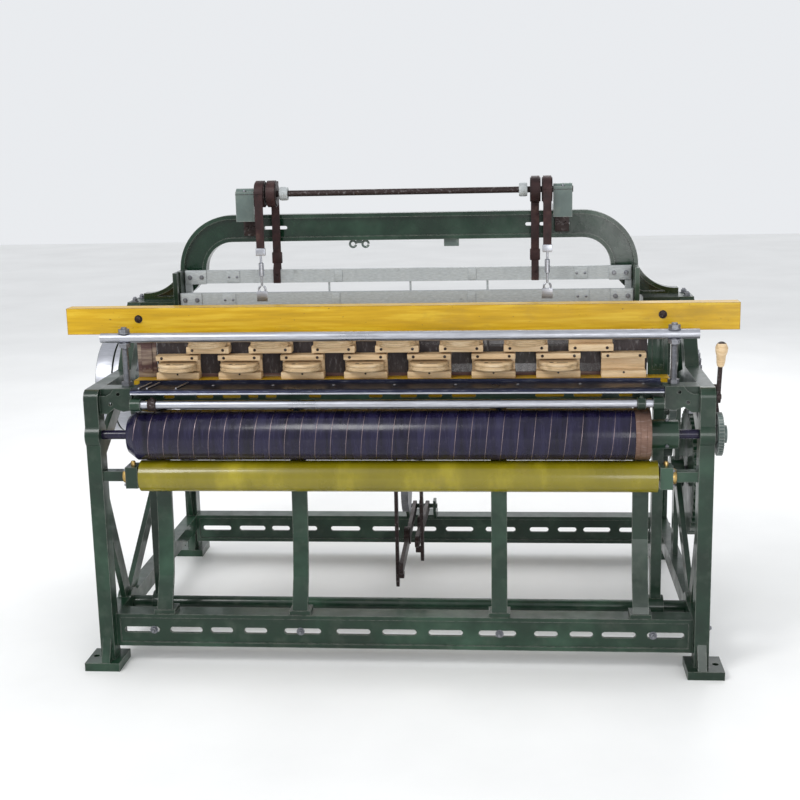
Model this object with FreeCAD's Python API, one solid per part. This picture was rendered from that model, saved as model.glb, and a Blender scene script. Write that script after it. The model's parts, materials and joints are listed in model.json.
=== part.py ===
"""Narrow-fabric power loom: cast side frames joined by slotted rails and an arch, with a two-tier
shuttle sley, two heald frames hung from a strap shaft, a crankshaft and tappet drive, and cloth rollers.

Millimetres. +X is to the weaver's right, +Y runs to the warp side, +Z is up. The origin is on the
floor, at the centre of the four floor bolt holes."""
import FreeCAD
import Part
import math
import os

V = FreeCAD.Vector
X_AXIS = V(1, 0, 0)
Y_AXIS = V(0, 1, 0)
Z_AXIS = V(0, 0, 1)

# ---------------------------------------------------------------- driving dimensions
FRAME_INNER = 810.0        # inner face of each side frame, from the middle of the loom
FRAME_THICK = 40.0
FRAME_FRONT = -530.0       # front face of the front posts
FRAME_REAR = 530.0
POST_WIDTH = 50.0
FRAME_WEB = 16.0           # thickness of the diagonal ribs
FOOT_HEIGHT = 24.0
FOOT_LENGTH = 110.0
FLOOR_BOLT_R = 9.0

RAIL_HEIGHT = 96.0         # bottom rails: channels with slotted faces
RAIL_DEPTH = 59.0
RAIL_WALL = 12.0
RAIL_LIP = 4.0
RAIL_BOTTOM = 54.0
RAIL_SET_BACK = 30.0       # rail faces behind the front posts' front face
REAR_RAIL_INSET = 9.0
SLOT_HEIGHT = 17.0
RAIL_SLOTS = [(-48, 48), (82, 178), (222, 326), (376, 441), (474, 538), (562, 655), (686, 787)]

TOP_RAIL_BOTTOM = 770.0
TOP_RAIL_TOP = 803.0
TOP_RAIL_DEPTH = 58.0
TOP_RAIL_WALL = 11.0
TOP_SLOT_HEIGHT = 11.0
REAR_TOP_RAIL_DEPTH = 45.0
REAR_TOP_RAIL_HEIGHT = 60.0
TOP_SLOTS = [(-634, -603), (-543, -495), (-470, -419), (-399, -371), (-351, -320), (-232, -198),
             (-68, -31), (17, 62), (93, 130), (156, 221), (379, 456), (481, 557), (600, 637)]

ARCH_Y = -25.0             # front face of the arch
ARCH_DEPTH = 40.0
ARCH_FOOT_Z = 985.0
ARCH_TOP_Z = 1240.0
ARCH_BAND = 80.0
ARCH_SIDE_GAP = 120.0      # from the arch's upright outer face to the side frame
ARCH_FOOT_LENGTH = 104.0
ARCH_CORNER_R = 165.0
ARCH_FOOT_THICK = 22.0
ARCH_FLANGE = 12.0
ARCH_WEB = 14.0

SHAFT_R = 9.0              # strap shaft on top of the arch
SHAFT_Y = -85.0
SHAFT_RISE = 65.0          # shaft axis above the arch
BEARING_FROM_CORNER = 60.0 # top bearing's middle from the start of the arch's corner
TOP_BEARING_WIDTH = 54.0
DRUM_R = 35.0
DRUM_FROM_BEARING = 45.0
DRUM_PITCH = 34.0
COLLAR_WIDTH = 22.0
COLLAR_R = 17.0
STRAP_WIDTH = 24.0
STRAP_THICK = 4.0
SHED_LIFT = 60.0           # travel of each heald frame

HEALD_DEPTH = 20.0
HEALD_END_GAP = 8.0        # heald frame to the guide plate
HEALD_BAR = 39.0
HEALD_FRONT_TOP = 1018.0
HEALD_HEIGHT = 380.0
HEALD_STILE = 18.0
HEALD_STAYS = (-230.0, 15.0, 245.0)
GUIDE_PLATE = 8.0
GUIDE_RUN = 4.0            # heald frame to the ribs of its groove

PIVOT_Z = 120.0            # height of the sley's rocking shaft
SLEY_GAP = 5.0             # sley board to the pedestals
ROCKING_R = 18.0
SWORD_FROM_ARM = 38.0
SWORD_WIDTH = 30.0
SWORD_DEPTH = 36.0
CAP_BOTTOM = 936.0
CAP_HEIGHT = 74.0
CAP_DEPTH = 50.0
CAP_OVERHANG = 120.0       # cap beyond the side frame's inner face
BOARD_BOTTOM = 745.0
BOARD_TOP = 806.0
BOARD_DEPTH = 62.0
BOARD_END_GAP = 7.0        # board to the connecting arms
REED_PITCH = 12.0
REED_DENT = 2.5
REED_END_GAP = 36.0        # reed to the middle of the sword

BLOCK_WIDTH = 121.0
BLOCK_PITCH = 177.6
BLOCK_PLATE = 20.0
BLOCK_HEIGHT = 68.0
BLOCK_DEPTH = 50.0
SHUTTLE_R = 55.0
SHUTTLE_THICK = 22.0
BLOCK_TIER_GAP = 5.0

CRANK_Y = 100.0
CRANK_Z = 700.0
CRANK_R = 20.0             # journal radius
CRANK_THROW = 50.0
ARM_FROM_FRAME = 48.0      # plane of the connecting arms
ARM_THICK = 20.0
CRANK_WEB = 11.0
GEAR_MODULE = 8.0
PINION_TEETH = 24
GEAR_TEETH = 48
GEAR_WIDTH = 30.0
PULLEY_R = 150.0
PULLEY_WIDTH = 50.0

NAVY_R = 70.0
NAVY_Z = 675.0
NAVY_END_GAPS = (88.0, 170.0)      # left and right ends from the side frames
CLOTH_R = 43.0
CLOTH_SET_FORWARD = 10.0
CLOTH_BRACKET_GAP = 102.0          # inner face of the bearing block from the side frame
CLOTH_BRACKET_WIDTH = 34.0
ROLLER_GAP = 1.0
ROLLER_SHAFT_R = 12.5
TUBE_WALL = 6.0            # wall of the hollow rollers

BREAST_END_GAP = 95.0
WIRE_GUIDE_INSETS = (22.0, 45.0, 125.0)
GUARD_R = 13.5
GUARD_SET_BACK = 50.0
GUARD_Z = 936.0
GUARD_OVERHANG = 4.0
GUARD_POST_GAP = 62.0      # post from the side frame
GUIDE_BAR_R = 11.0
GUIDE_BAR_REACH = 40.0     # bar's axis in front of the rail
GUIDE_BAR_RISE = 21.0      # bar's axis above the take-up roller's top
GUIDE_BAR_END_GAP = 120.0

INNER_PEDESTAL_X = 280.0
OUTER_PEDESTAL_GAP = 142.0
PEDESTAL_WEB = 14.0
PEDESTAL_DEPTH = 28.0
PEDESTAL_WIDTH = 44.0

WARP_Y = 400.0
WARP_Z = 430.0
WARP_BARREL_R = 50.0
WARP_FLANGE_R = 140.0
WARP_END_GAP = 110.0
BACK_REST_Z = 830.0
BACK_REST_R = 32.0

TREADLE_PIVOT_REACH = 37.0 # pivot in front of the rear rail
TREADLE_PIVOT_Z = 200.0
TREADLE_X = 22.0
TREADLE_THICK = 12.0
TREADLE_PIN_R = 8.0

RUN = 0.05                 # radial clearance of running fits
CLEAR = 0.5                # clearance between loose neighbours


# ---------------------------------------------------------------- shape helpers
def box(x0, x1, y0, y1, z0, z1):
    return Part.makeBox(x1 - x0, y1 - y0, z1 - z0, V(x0, y0, z0))


def rod(x0, x1, y, z, r):
    """Round bar along X."""
    return Part.makeCylinder(r, x1 - x0, V(x0, y, z), X_AXIS)


def ring(x0, x1, y, z, outer, inner):
    return rod(x0, x1, y, z, outer).cut(rod(x0 - 1, x1 + 1, y, z, inner))


def fuse(*shapes):
    solids = list(shapes)
    return solids[0].multiFuse(solids[1:]).removeSplitter()


def cut(shape, *tools):
    return shape.cut(list(tools))


def mirrored(shape):
    """The same piece for the other side of the loom."""
    return shape.mirror(V(0, 0, 0), X_AXIS)


def pair(shape):
    return Part.makeCompound([mirrored(shape), shape])


def plate_yz(points, x0, x1):
    """A flat plate from its (y, z) outline."""
    wire = Part.makePolygon([V(x0, y, z) for y, z in points + points[:1]])
    return Part.Face(wire).extrude(V(x1 - x0, 0, 0))


def plate_xz(points, y0, y1):
    wire = Part.makePolygon([V(x, y0, z) for x, z in points + points[:1]])
    return Part.Face(wire).extrude(V(0, y1 - y0, 0))


def bar_yz(start, end, width, x0, x1):
    """A straight rib with round ends, in a side frame's plane."""
    dy, dz = end[0] - start[0], end[1] - start[1]
    length = math.hypot(dy, dz)
    ny, nz = -dz / length * width / 2, dy / length * width / 2
    corners = [(start[0] + ny, start[1] + nz), (end[0] + ny, end[1] + nz),
               (end[0] - ny, end[1] - nz), (start[0] - ny, start[1] - nz)]
    return fuse(plate_yz(corners, x0, x1), rod(x0, x1, start[0], start[1], width / 2),
                rod(x0, x1, end[0], end[1], width / 2))


def slot_along_x(x0, x1, y0, y1, z, height):
    """A round-ended slot through a rail's face."""
    r = height / 2
    ends = [Part.makeCylinder(r, y1 - y0, V(x, y0, z), Y_AXIS) for x in (x0 + r, x1 - r)]
    return fuse(box(x0 + r, x1 - r, y0, y1, z - r, z + r), *ends)


def hex_bolt(point, axis, r=6.0, head=5.0):
    """A hexagon head standing on its face at a point, pointing along axis."""
    corners = [V(2 * r * math.cos(math.radians(60 * k)), 2 * r * math.sin(math.radians(60 * k)), 0)
               for k in range(7)]
    bolt = Part.Face(Part.makePolygon(corners)).extrude(V(0, 0, head))
    bolt.Placement = FreeCAD.Placement(point, FreeCAD.Rotation(Z_AXIS, axis))
    return bolt


def gear(teeth, module, x0, x1, y, z, bore, phase):
    """A straight-toothed wheel along X. phase is the angle of one tooth's middle, from +Y."""
    pitch_r = teeth * module / 2
    step = 2 * math.pi / teeth
    profile = [(pitch_r - 1.15 * module, 0.33), (pitch_r, 0.225), (pitch_r + 0.8 * module, 0.12)]
    points = []
    for k in range(teeth):
        middle = phase + k * step
        for radius, share in profile:
            points.append((y + radius * math.cos(middle - share * step),
                           z + radius * math.sin(middle - share * step)))
        for radius, share in reversed(profile):
            points.append((y + radius * math.cos(middle + share * step),
                           z + radius * math.sin(middle + share * step)))
    return plate_yz(points, x0, x1).cut(rod(x0 - 1, x1 + 1, y, z, bore))


def save(name, shape):
    os.makedirs("parts", exist_ok=True)
    shape.exportStep("parts/" + name + ".step")


# ---------------------------------------------------------------- worked-out places
FRAME_OUTER = FRAME_INNER + FRAME_THICK
FRONT_POST_Y = FRAME_FRONT + POST_WIDTH / 2
REAR_POST_Y = FRAME_REAR - POST_WIDTH / 2
FRONT_RAIL_Y = FRAME_FRONT + RAIL_SET_BACK
REAR_RAIL_Y = FRAME_REAR - REAR_RAIL_INSET - RAIL_DEPTH
RAIL_TOP = RAIL_BOTTOM + RAIL_HEIGHT
RAIL_MIDDLE = RAIL_BOTTOM + RAIL_HEIGHT / 2
SHOULDER_Z = TOP_RAIL_TOP - POST_WIDTH / 2
SEAT_TOP = ARCH_FOOT_Z
CREST_Z = SEAT_TOP - 27    # middle of the frame's top rim under the arch
ARCH_HALF_WIDTH = FRAME_INNER - ARCH_SIDE_GAP
ARCH_FOOT_TIP = FRAME_INNER - 1
SHAFT_Z = ARCH_TOP_Z + SHAFT_RISE
TOP_BEARING_X = ARCH_HALF_WIDTH - ARCH_CORNER_R - BEARING_FROM_CORNER
STRAP_X = (TOP_BEARING_X - DRUM_FROM_BEARING, TOP_BEARING_X - DRUM_FROM_BEARING - DRUM_PITCH)
HEALD_FRONT_Y = SHAFT_Y - DRUM_R   # each heald frame hangs under its side of the drums
HEALD_REAR_Y = SHAFT_Y + DRUM_R
ARM_X = FRAME_INNER - ARM_FROM_FRAME
SWORD_X = ARM_X - SWORD_FROM_ARM
BOARD_HALF_LENGTH = ARM_X - ARM_THICK / 2 - BOARD_END_GAP
CAP_HALF_LENGTH = FRAME_INNER + CAP_OVERHANG
REED_HALF_LENGTH = SWORD_X - REED_END_GAP
GUIDE_PLATE_X = SWORD_X - SWORD_WIDTH / 2 - 25 - GUIDE_PLATE
HEALD_HALF_WIDTH = GUIDE_PLATE_X - HEALD_END_GAP
LOWER_COUNT = int((2 * REED_HALF_LENGTH + BLOCK_PITCH - BLOCK_WIDTH) / BLOCK_PITCH)
UPPER_COUNT = LOWER_COUNT - 1
NAVY_ENDS = (-FRAME_INNER + NAVY_END_GAPS[0], FRAME_INNER - NAVY_END_GAPS[1])
NAVY_AXIS = (FRONT_POST_Y, NAVY_Z)
CLOTH_DROP = math.sqrt((NAVY_R + CLOTH_R + ROLLER_GAP) ** 2 - CLOTH_SET_FORWARD ** 2)
CLOTH_AXIS = (FRONT_POST_Y - CLOTH_SET_FORWARD, NAVY_Z - CLOTH_DROP)
CLOTH_BRACKET_X = FRAME_INNER - CLOTH_BRACKET_GAP
GUARD_Y = FRONT_RAIL_Y + GUARD_SET_BACK
GUARD_HALF_LENGTH = FRAME_INNER + GUARD_OVERHANG
GUARD_POST_X = FRAME_INNER - GUARD_POST_GAP
GUIDE_BAR_Y = FRONT_RAIL_Y - GUIDE_BAR_REACH
GUIDE_BAR_Z = NAVY_Z + NAVY_R + GUIDE_BAR_RISE
GUIDE_BAR_HALF = FRAME_INNER - GUIDE_BAR_END_GAP
PEDESTAL_FRONT = FRONT_POST_Y + NAVY_R + 5
PEDESTAL_BACK = PEDESTAL_FRONT + PEDESTAL_DEPTH
PIVOT_Y = PEDESTAL_BACK + SLEY_GAP + BOARD_DEPTH + SWORD_DEPTH / 2 - 1
PEDESTALS = (INNER_PEDESTAL_X, FRAME_INNER - OUTER_PEDESTAL_GAP)
BREAST_HALF = FRAME_INNER - BREAST_END_GAP
WARP_HALF_LENGTH = FRAME_INNER - WARP_END_GAP
TREADLE_PIVOT_Y = REAR_RAIL_Y - TREADLE_PIVOT_REACH
CRANK = (CRANK_Y, CRANK_Z)
TAPPET_R = 18.0
TAPPET = (CRANK_Y, CRANK_Z - GEAR_MODULE * (PINION_TEETH + GEAR_TEETH) / 2)
CRANK_PIN = (CRANK_Y - CRANK_THROW, CRANK_Z)
PIVOT = (PIVOT_Y, PIVOT_Z)
WARP = (WARP_Y, WARP_Z)
BACK_REST = (REAR_POST_Y, BACK_REST_Z)
BUSH_WALL = 10.0
HANDLE = (FRONT_RAIL_Y, SHOULDER_Z - 3)
PAWL_PIVOT = (FRONT_POST_Y + 105, NAVY_Z + 100)
PAWL_STUD_R = 6.0
SEAT = (ARCH_Y - 40, ARCH_Y + ARCH_DEPTH + 40)
SHOULDER_END = (SEAT[0] - 125, SHOULDER_Z)
CAP_FRONT = PIVOT_Y - SWORD_DEPTH / 2 + 1 - CAP_DEPTH
BLOCK_FRONT = CAP_FRONT
SHUTTLE_Y = BLOCK_FRONT + 7
HEALD_REAR_TOP = HEALD_FRONT_TOP + SHED_LIFT
HEALD_FRONT_FOOT = HEALD_FRONT_TOP - HEALD_HEIGHT
TREADLE_LOW = TREADLE_PIVOT_Z - SHED_LIFT / 2
TREADLE_HIGH = TREADLE_LOW + SHED_LIFT


# ---------------------------------------------------------------- side frames and rails
def side_frame():
    """The right-hand casting: posts, beams, ribs, bearing bosses, arch seat and feet."""
    x0, x1 = FRAME_INNER, FRAME_OUTER
    rib0, rib1 = x0 + 12, x0 + 12 + FRAME_WEB
    half = POST_WIDTH / 2
    front, rear = FRONT_POST_Y, REAR_POST_Y
    crest = ((SEAT[0] + 10, CREST_Z), (SEAT[1] - 5, CREST_Z))
    pieces = [box(x0, x1, y - half, y + half, 1, SHOULDER_Z) for y in (front, rear)]
    rims = [((front, PIVOT_Z), (rear, PIVOT_Z)), ((front, SHOULDER_Z), SHOULDER_END),
            (SHOULDER_END, crest[0]), crest, (crest[1], BACK_REST), (BACK_REST, (rear, SHOULDER_Z - 20))]
    pieces += [bar_yz(a, b, POST_WIDTH, x0, x1) for a, b in rims]
    ribs = [((front, NAVY_Z - 115), PIVOT), ((front, NAVY_Z - 75), SHOULDER_END),
            (SHOULDER_END, CRANK), (CRANK, (SEAT[0] + 65, CREST_Z)), (CRANK, TAPPET),
            (TAPPET, (CRANK_Y, PIVOT_Z)),
            (TAPPET, PIVOT), (CRANK, WARP), (WARP, (rear, PIVOT_Z)), (WARP, (rear, WARP_Z + 190))]
    pieces += [bar_yz(a, b, 46, rib0, rib1) for a, b in ribs]
    bosses = [(CRANK, 52), (TAPPET, 48), (PIVOT, 42), (WARP, 46), (BACK_REST, 36), (NAVY_AXIS, 36)]
    pieces += [rod(x0, x1, a[0], a[1], r) for a, r in bosses]
    under = CREST_Z + 5
    reach = ARCH_FOOT_LENGTH
    pieces.append(box(x0 - reach - 4, x1, SEAT[0], SEAT[1], under, SEAT_TOP))
    pieces.append(plate_xz([(x0 - reach + 4, under), (x0 + 5, under), (x0 + 5, under - reach + 1)], -12, 12))
    for y in (front, rear):
        pieces.append(box(x0 - 20, x1 + 40, y - FOOT_LENGTH / 2, y + FOOT_LENGTH / 2, 0, FOOT_HEIGHT))
        pieces.append(plate_yz([(y - half - 28, FOOT_HEIGHT), (y + half + 28, FOOT_HEIGHT),
                                (y + half, 90), (y - half, 90)], x0 + 8, x1 - 8))
    frame = fuse(*pieces)
    bores = [(CRANK, CRANK_R + BUSH_WALL), (TAPPET, TAPPET_R + BUSH_WALL), (PIVOT, ROCKING_R + RUN),
             (WARP, TAPPET_R + RUN), (BACK_REST, ROLLER_SHAFT_R + RUN), (NAVY_AXIS, ROLLER_SHAFT_R + RUN),
             (HANDLE, 7 + RUN), (PAWL_PIVOT, PAWL_STUD_R + RUN)]
    tools = [rod(x0 - 120, x1 + 120, a[0], a[1], r) for a, r in bores]
    for y in (front, rear):
        tools.append(Part.makeCylinder(FLOOR_BOLT_R, FOOT_HEIGHT + 2, V(x1 + 22, y, -1)))
    return cut(frame, *tools)


def channel(y, bottom, top, depth, wall, slots, slot_height):
    """A rail between the side frames: slotted face, top and bottom flanges, raised lips, end plates."""
    x = FRAME_INNER
    face = box(-x, x, y + RAIL_LIP, y + wall, bottom, top)
    lips = [box(-x, x, y, y + depth, z, z + wall) for z in (bottom, top - wall)]
    ends = [box(s * x - (wall if s > 0 else 0), s * x + (0 if s > 0 else wall), y, y + depth, bottom, top)
            for s in (-1, 1)]
    rail = fuse(face, *lips, *ends)
    middle = (bottom + top) / 2
    both = [(a, b) for a, b in slots + [(-b, -a) for a, b in slots if a > 0] if max(-a, b) < x - wall]
    tools = [slot_along_x(a, b, y - 1, y + wall + 1, middle, slot_height) for a, b in both]
    return cut(rail, *tools)


def front_top_rail():
    x, y = FRAME_INNER, FRONT_RAIL_Y
    face = box(-x, x, y, y + TOP_RAIL_WALL, TOP_RAIL_BOTTOM, TOP_RAIL_TOP)
    flange = box(-x, x, y, y + TOP_RAIL_DEPTH, TOP_RAIL_TOP - TOP_RAIL_WALL, TOP_RAIL_TOP)
    middle = TOP_RAIL_BOTTOM + (TOP_RAIL_TOP - TOP_RAIL_WALL - TOP_RAIL_BOTTOM) / 2
    slots = [slot_along_x(a, b, y - 1, y + TOP_RAIL_WALL + 1, middle, TOP_SLOT_HEIGHT)
             for a, b in TOP_SLOTS if max(-a, b) < x - TOP_RAIL_WALL]
    return cut(fuse(face, flange), *slots)


def rear_top_rail():
    x, wall = FRAME_INNER, TOP_RAIL_WALL
    y, top = FRAME_REAR - REAR_TOP_RAIL_DEPTH, SHOULDER_Z - 28
    return fuse(box(-x, x, y, y + wall, top - REAR_TOP_RAIL_HEIGHT, top),
                box(-x, x, y, FRAME_REAR, top - wall, top))


def pedestal(x):
    """One cast leg from the bottom rail to the top rail, bowed back behind the rollers."""
    y, foot, head = FRONT_RAIL_Y, RAIL_TOP, TOP_RAIL_BOTTOM - CLEAR
    near, far = PEDESTAL_FRONT, PEDESTAL_BACK
    front = [(y + 3, foot), (y + 14, foot + 30), (near - 26, foot + 100), (near - 6, foot + 210),
             (near, foot + 330), (near, head - 30), (y + 30, head - 13)]
    back = [(y + 30, head), (far, head), (far, foot + 210), (far - 16, foot + 100),
            (y + 57, foot + 30), (y + 57, foot)]
    web = plate_yz(front + back, x - PEDESTAL_WEB / 2, x + PEDESTAL_WEB / 2)
    strip = front[:6] + [(a + 9, z) for a, z in reversed(front[:6])]
    flange = plate_yz(strip, x - PEDESTAL_WIDTH / 2, x + PEDESTAL_WIDTH / 2)
    pad = box(x - 30, x + 30, y + 3, y + 57, foot, foot + 12)
    return fuse(web, flange, pad)


def corner_bracket():
    x, z = FRAME_INNER, TOP_RAIL_TOP
    points = [(x - 90, z - 58), (x - 90, z + 3), (x - 42, z + 3), (x - 32, z - 10), (x - 18, z - 18),
              (x, z - 18), (x, z - 68), (x - 20, z - 68), (x - 40, z - 53), (x - 65, z - 62)]
    plate = plate_xz(points, FRONT_RAIL_Y - 12, FRONT_RAIL_Y)
    holes = [Part.makeCylinder(5, 14, V(a, FRONT_RAIL_Y - 13, b), Y_AXIS)
             for a, b in ((x - 53, z - 13), (x - 30, z - 41))]
    return cut(plate, *holes)


def arch_outline():
    """Half outline points of the arch as edges, mirrored to the whole, in its front plane."""
    y, w, b, r = ARCH_Y, ARCH_HALF_WIDTH, ARCH_BAND, ARCH_CORNER_R
    top, low = ARCH_TOP_Z, ARCH_FOOT_Z
    k = math.sqrt(0.5)
    tip = ARCH_FOOT_TIP
    heel = tip - ARCH_FOOT_LENGTH
    shoulder = top - r

    def arc(a, m, c):
        return Part.Arc(V(a[0], y, a[1]), V(m[0], y, m[1]), V(c[0], y, c[1])).toShape()

    def line(a, c):
        return Part.makeLine(V(a[0], y, a[1]), V(c[0], y, c[1]))

    half = [arc((w - r, top), (w - r + r * k, shoulder + r * k), (w, shoulder)),
            arc((w, shoulder), (w + 30, low + 52), (tip, low + ARCH_FOOT_THICK)),
            line((tip, low + ARCH_FOOT_THICK), (tip, low)), line((tip, low), (heel, low)),
            arc((heel, low), (w - b + 28, low + 42), (w - b, shoulder)),
            arc((w - b, shoulder), (w - r + (r - b) * k, shoulder + (r - b) * k), (w - r, top - b))]
    other = [e.mirror(V(0, 0, 0), X_AXIS) for e in half]
    joins = [line((-(w - r), top), (w - r, top)), line((-(w - r), top - b), (w - r, top - b))]
    return Part.Wire(Part.__sortEdges__(half + other + joins))


def arch():
    face = Part.Face(arch_outline())
    body = face.extrude(V(0, ARCH_DEPTH, 0))
    inset = face.makeOffset2D(-ARCH_FLANGE)
    pocket_depth = (ARCH_DEPTH - ARCH_WEB) / 2
    front = inset.extrude(V(0, pocket_depth, 0))
    back = front.copy()
    back.translate(V(0, ARCH_DEPTH - pocket_depth, 0))
    middle = ARCH_TOP_Z - ARCH_BAND / 2
    slots = [slot_along_x(s * m - 14, s * m + 14, ARCH_Y - 1, ARCH_Y + ARCH_DEPTH + 1, middle, 10)
             for s in (-1, 1) for m in (TOP_BEARING_X - 93, TOP_BEARING_X - 51, TOP_BEARING_X + 9)]
    return cut(body, front, back, *slots)


# ---------------------------------------------------------------- strap shaft and heald frames
def top_bearing():
    x0, x1 = TOP_BEARING_X - TOP_BEARING_WIDTH / 2, TOP_BEARING_X + TOP_BEARING_WIDTH / 2
    foot = box(x0, x1, SHAFT_Y + 23, ARCH_Y + ARCH_DEPTH, ARCH_TOP_Z, ARCH_TOP_Z + 18)
    pillar = box(x0, x1, SHAFT_Y - 23, SHAFT_Y + 24, ARCH_TOP_Z - 14, SHAFT_Z)
    return fuse(foot, pillar).cut(rod(x0 - 1, x1 + 1, SHAFT_Y, SHAFT_Z, SHAFT_R + RUN))


def top_bearing_cap():
    x0, x1 = TOP_BEARING_X - TOP_BEARING_WIDTH / 2, TOP_BEARING_X + TOP_BEARING_WIDTH / 2
    crown = rod(x0, x1, SHAFT_Y, SHAFT_Z, 17)
    cap = fuse(box(x0, x1, SHAFT_Y - 23, SHAFT_Y + 23, SHAFT_Z, SHAFT_Z + 8),
               crown.common(box(x0, x1, SHAFT_Y - 20, SHAFT_Y + 20, SHAFT_Z, SHAFT_Z + 20)))
    return cap.cut(rod(x0 - 1, x1 + 1, SHAFT_Y, SHAFT_Z, SHAFT_R + RUN))


def strap_drums():
    half = STRAP_WIDTH / 2 + 3
    drums = [ring(x - half, x + half, SHAFT_Y, SHAFT_Z, DRUM_R, SHAFT_R) for x in STRAP_X]
    x1 = STRAP_X[1] - half - 9
    collar = ring(x1 - COLLAR_WIDTH, x1, SHAFT_Y, SHAFT_Z, COLLAR_R, SHAFT_R)
    return Part.makeCompound([pair(s) for s in drums + [collar]])


def strap_wraps():
    """The turns of strap that stay round the drums."""
    half = STRAP_WIDTH / 2
    bands = [ring(x - half, x + half, SHAFT_Y, SHAFT_Z, DRUM_R + STRAP_THICK, DRUM_R) for x in STRAP_X]
    return Part.makeCompound([pair(band) for band in bands])


def straps(x, side, foot, top):
    """The hanging tails of one pair of straps. side is -1 in front of the drum and 1 behind it."""
    half = STRAP_WIDTH / 2
    inner = SHAFT_Y + side * (DRUM_R + STRAP_THICK + CLEAR)
    outer = inner + side * STRAP_THICK
    return pair(box(x - half, x + half, min(inner, outer), max(inner, outer), foot, top))


def heald_frame(y, top):
    x, y0, y1, foot = HEALD_HALF_WIDTH, y - HEALD_DEPTH / 2, y + HEALD_DEPTH / 2, top - HEALD_HEIGHT
    bars = [box(-x, x, y0, y1, top - HEALD_BAR, top), box(-x, x, y0, y1, foot, foot + HEALD_BAR)]
    stiles = [box(-x, -x + HEALD_STILE, y0, y1, foot, top), box(x - HEALD_STILE, x, y0, y1, foot, top)]
    stays = [Part.makeCylinder(3, HEALD_HEIGHT - HEALD_BAR, V(s, y, foot + 10)) for s in HEALD_STAYS]
    return fuse(*bars, *stiles, *stays)


def heald_guide():
    """An upright plate on the arch's foot with three ribs, which leave a groove for each heald frame."""
    x, z0, z1 = GUIDE_PLATE_X, HEALD_FRONT_TOP - 158, HEALD_FRONT_TOP + 62
    reach = HEALD_DEPTH / 2 + GUIDE_RUN
    grooves = [HEALD_FRONT_Y - reach, HEALD_FRONT_Y + reach, HEALD_REAR_Y - reach, HEALD_REAR_Y + reach]
    start = grooves[0] - 11
    plate = box(x, x + GUIDE_PLATE, start, ARCH_Y, z0, z1)
    ribs = [box(x - HEALD_END_GAP + 2, x + 1, a, b, z0, z1)
            for a, b in ((start, grooves[0]), (grooves[1], grooves[2]), (grooves[3], ARCH_Y))]
    return fuse(plate, *ribs)


def frame_hook(side, y, foot_z, frame_foot):
    """The flat iron that hangs from a heald frame and carries the end of its treadle."""
    x0, x1 = TREADLE_X + 9, TREADLE_X + 19
    tip = foot_z - 24
    shank = [(y - 14, foot_z + 210), (y + 14, foot_z + 210), (y + 9, foot_z + 60), (y + 14, tip - 30),
             (y - 4, tip - 44), (y - 14, tip - 20), (y - 9, foot_z + 60)]
    upper = box(x0, x1, y - 12, y + 12, foot_z + 205, frame_foot)
    step = box(TREADLE_X - 6, x1, y - 12, y + 12, tip - 14, tip)
    hook = fuse(plate_yz(shank, x0, x1), upper, step)
    return hook if side > 0 else mirrored(hook)


def treadle(side, hook_y, hook_z):
    x0, x1 = TREADLE_X - TREADLE_THICK / 2, TREADLE_X + TREADLE_THICK / 2
    slope = (TREADLE_PIVOT_Z - hook_z) / (TREADLE_PIVOT_Y - hook_y)
    tip = (hook_y - 25, TREADLE_PIVOT_Z - slope * (TREADLE_PIVOT_Y - hook_y + 25))
    bowl = (CRANK_Y, TREADLE_PIVOT_Z - slope * (TREADLE_PIVOT_Y - CRANK_Y) + 14)
    lever = fuse(bar_yz((TREADLE_PIVOT_Y, TREADLE_PIVOT_Z), tip, 36, x0, x1),
                 rod(x0 - 4, x1 + 4, bowl[0], bowl[1], 28))
    lever = lever.cut(rod(x0 - 9, x1 + 9, TREADLE_PIVOT_Y, TREADLE_PIVOT_Z, TREADLE_PIN_R + RUN))
    return lever if side > 0 else mirrored(lever)


def treadle_bracket():
    y, z, r = TREADLE_PIVOT_Y, TREADLE_PIVOT_Z, TREADLE_PIN_R
    outer = TREADLE_X + 30
    base = box(-outer, outer, y + 15, REAR_RAIL_Y + RAIL_DEPTH, RAIL_TOP, RAIL_TOP + 12)
    cheek = [(y + 15, RAIL_TOP), (REAR_RAIL_Y + 20, RAIL_TOP), (y + 22, z + 22), (y - 20, z + 22),
             (y - 20, z - 20)]
    cheeks = [plate_yz(cheek, a, b) for a, b in ((-outer, 10 - outer), (-6, 6), (outer - 10, outer))]
    bracket = fuse(base, *cheeks).cut(rod(-outer - 8, outer + 8, y, z, r))
    return Part.makeCompound([bracket, rod(-outer - 4, outer + 4, y, z, r)])


# ---------------------------------------------------------------- drive
def crankshaft():
    web0, web1 = ARM_X - ARM_THICK / 2 - 1, ARM_X + ARM_THICK / 2 + 1
    pieces = [rod(-web0 + CRANK_WEB, web0 - CRANK_WEB, *CRANK, CRANK_R)]
    for s in (-1, 1):
        for a, b in ((web0 - CRANK_WEB, web0), (web1, web1 + CRANK_WEB)):
            pieces.append(bar_yz(CRANK, CRANK_PIN, 54, min(s * a, s * b), max(s * a, s * b)))
        pieces.append(rod(min(s * web0, s * web1), max(s * web0, s * web1), *CRANK_PIN, CRANK_R - 4))
    pieces.append(rod(web1, FRAME_OUTER + 46, *CRANK, CRANK_R))
    pieces.append(rod(-FRAME_OUTER - 140, -web1, *CRANK, CRANK_R))
    return fuse(*pieces)


def pulley(x0, bore):
    x1, rim, hub = x0 + PULLEY_WIDTH, 12, 42
    reach = PULLEY_R - rim / 2
    y, z = CRANK
    pieces = [ring(x0, x1, y, z, PULLEY_R, PULLEY_R - rim), rod(x0, x1, y, z, hub)]
    for k in range(5):
        a = math.radians(72 * k + 18)
        tip = (y + reach * math.cos(a), z + reach * math.sin(a))
        pieces.append(bar_yz((y, z), tip, 10, x0 + 12, x1 - 12))
    return fuse(*pieces).cut(rod(x0 - 1, x1 + 1, y, z, bore))


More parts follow.
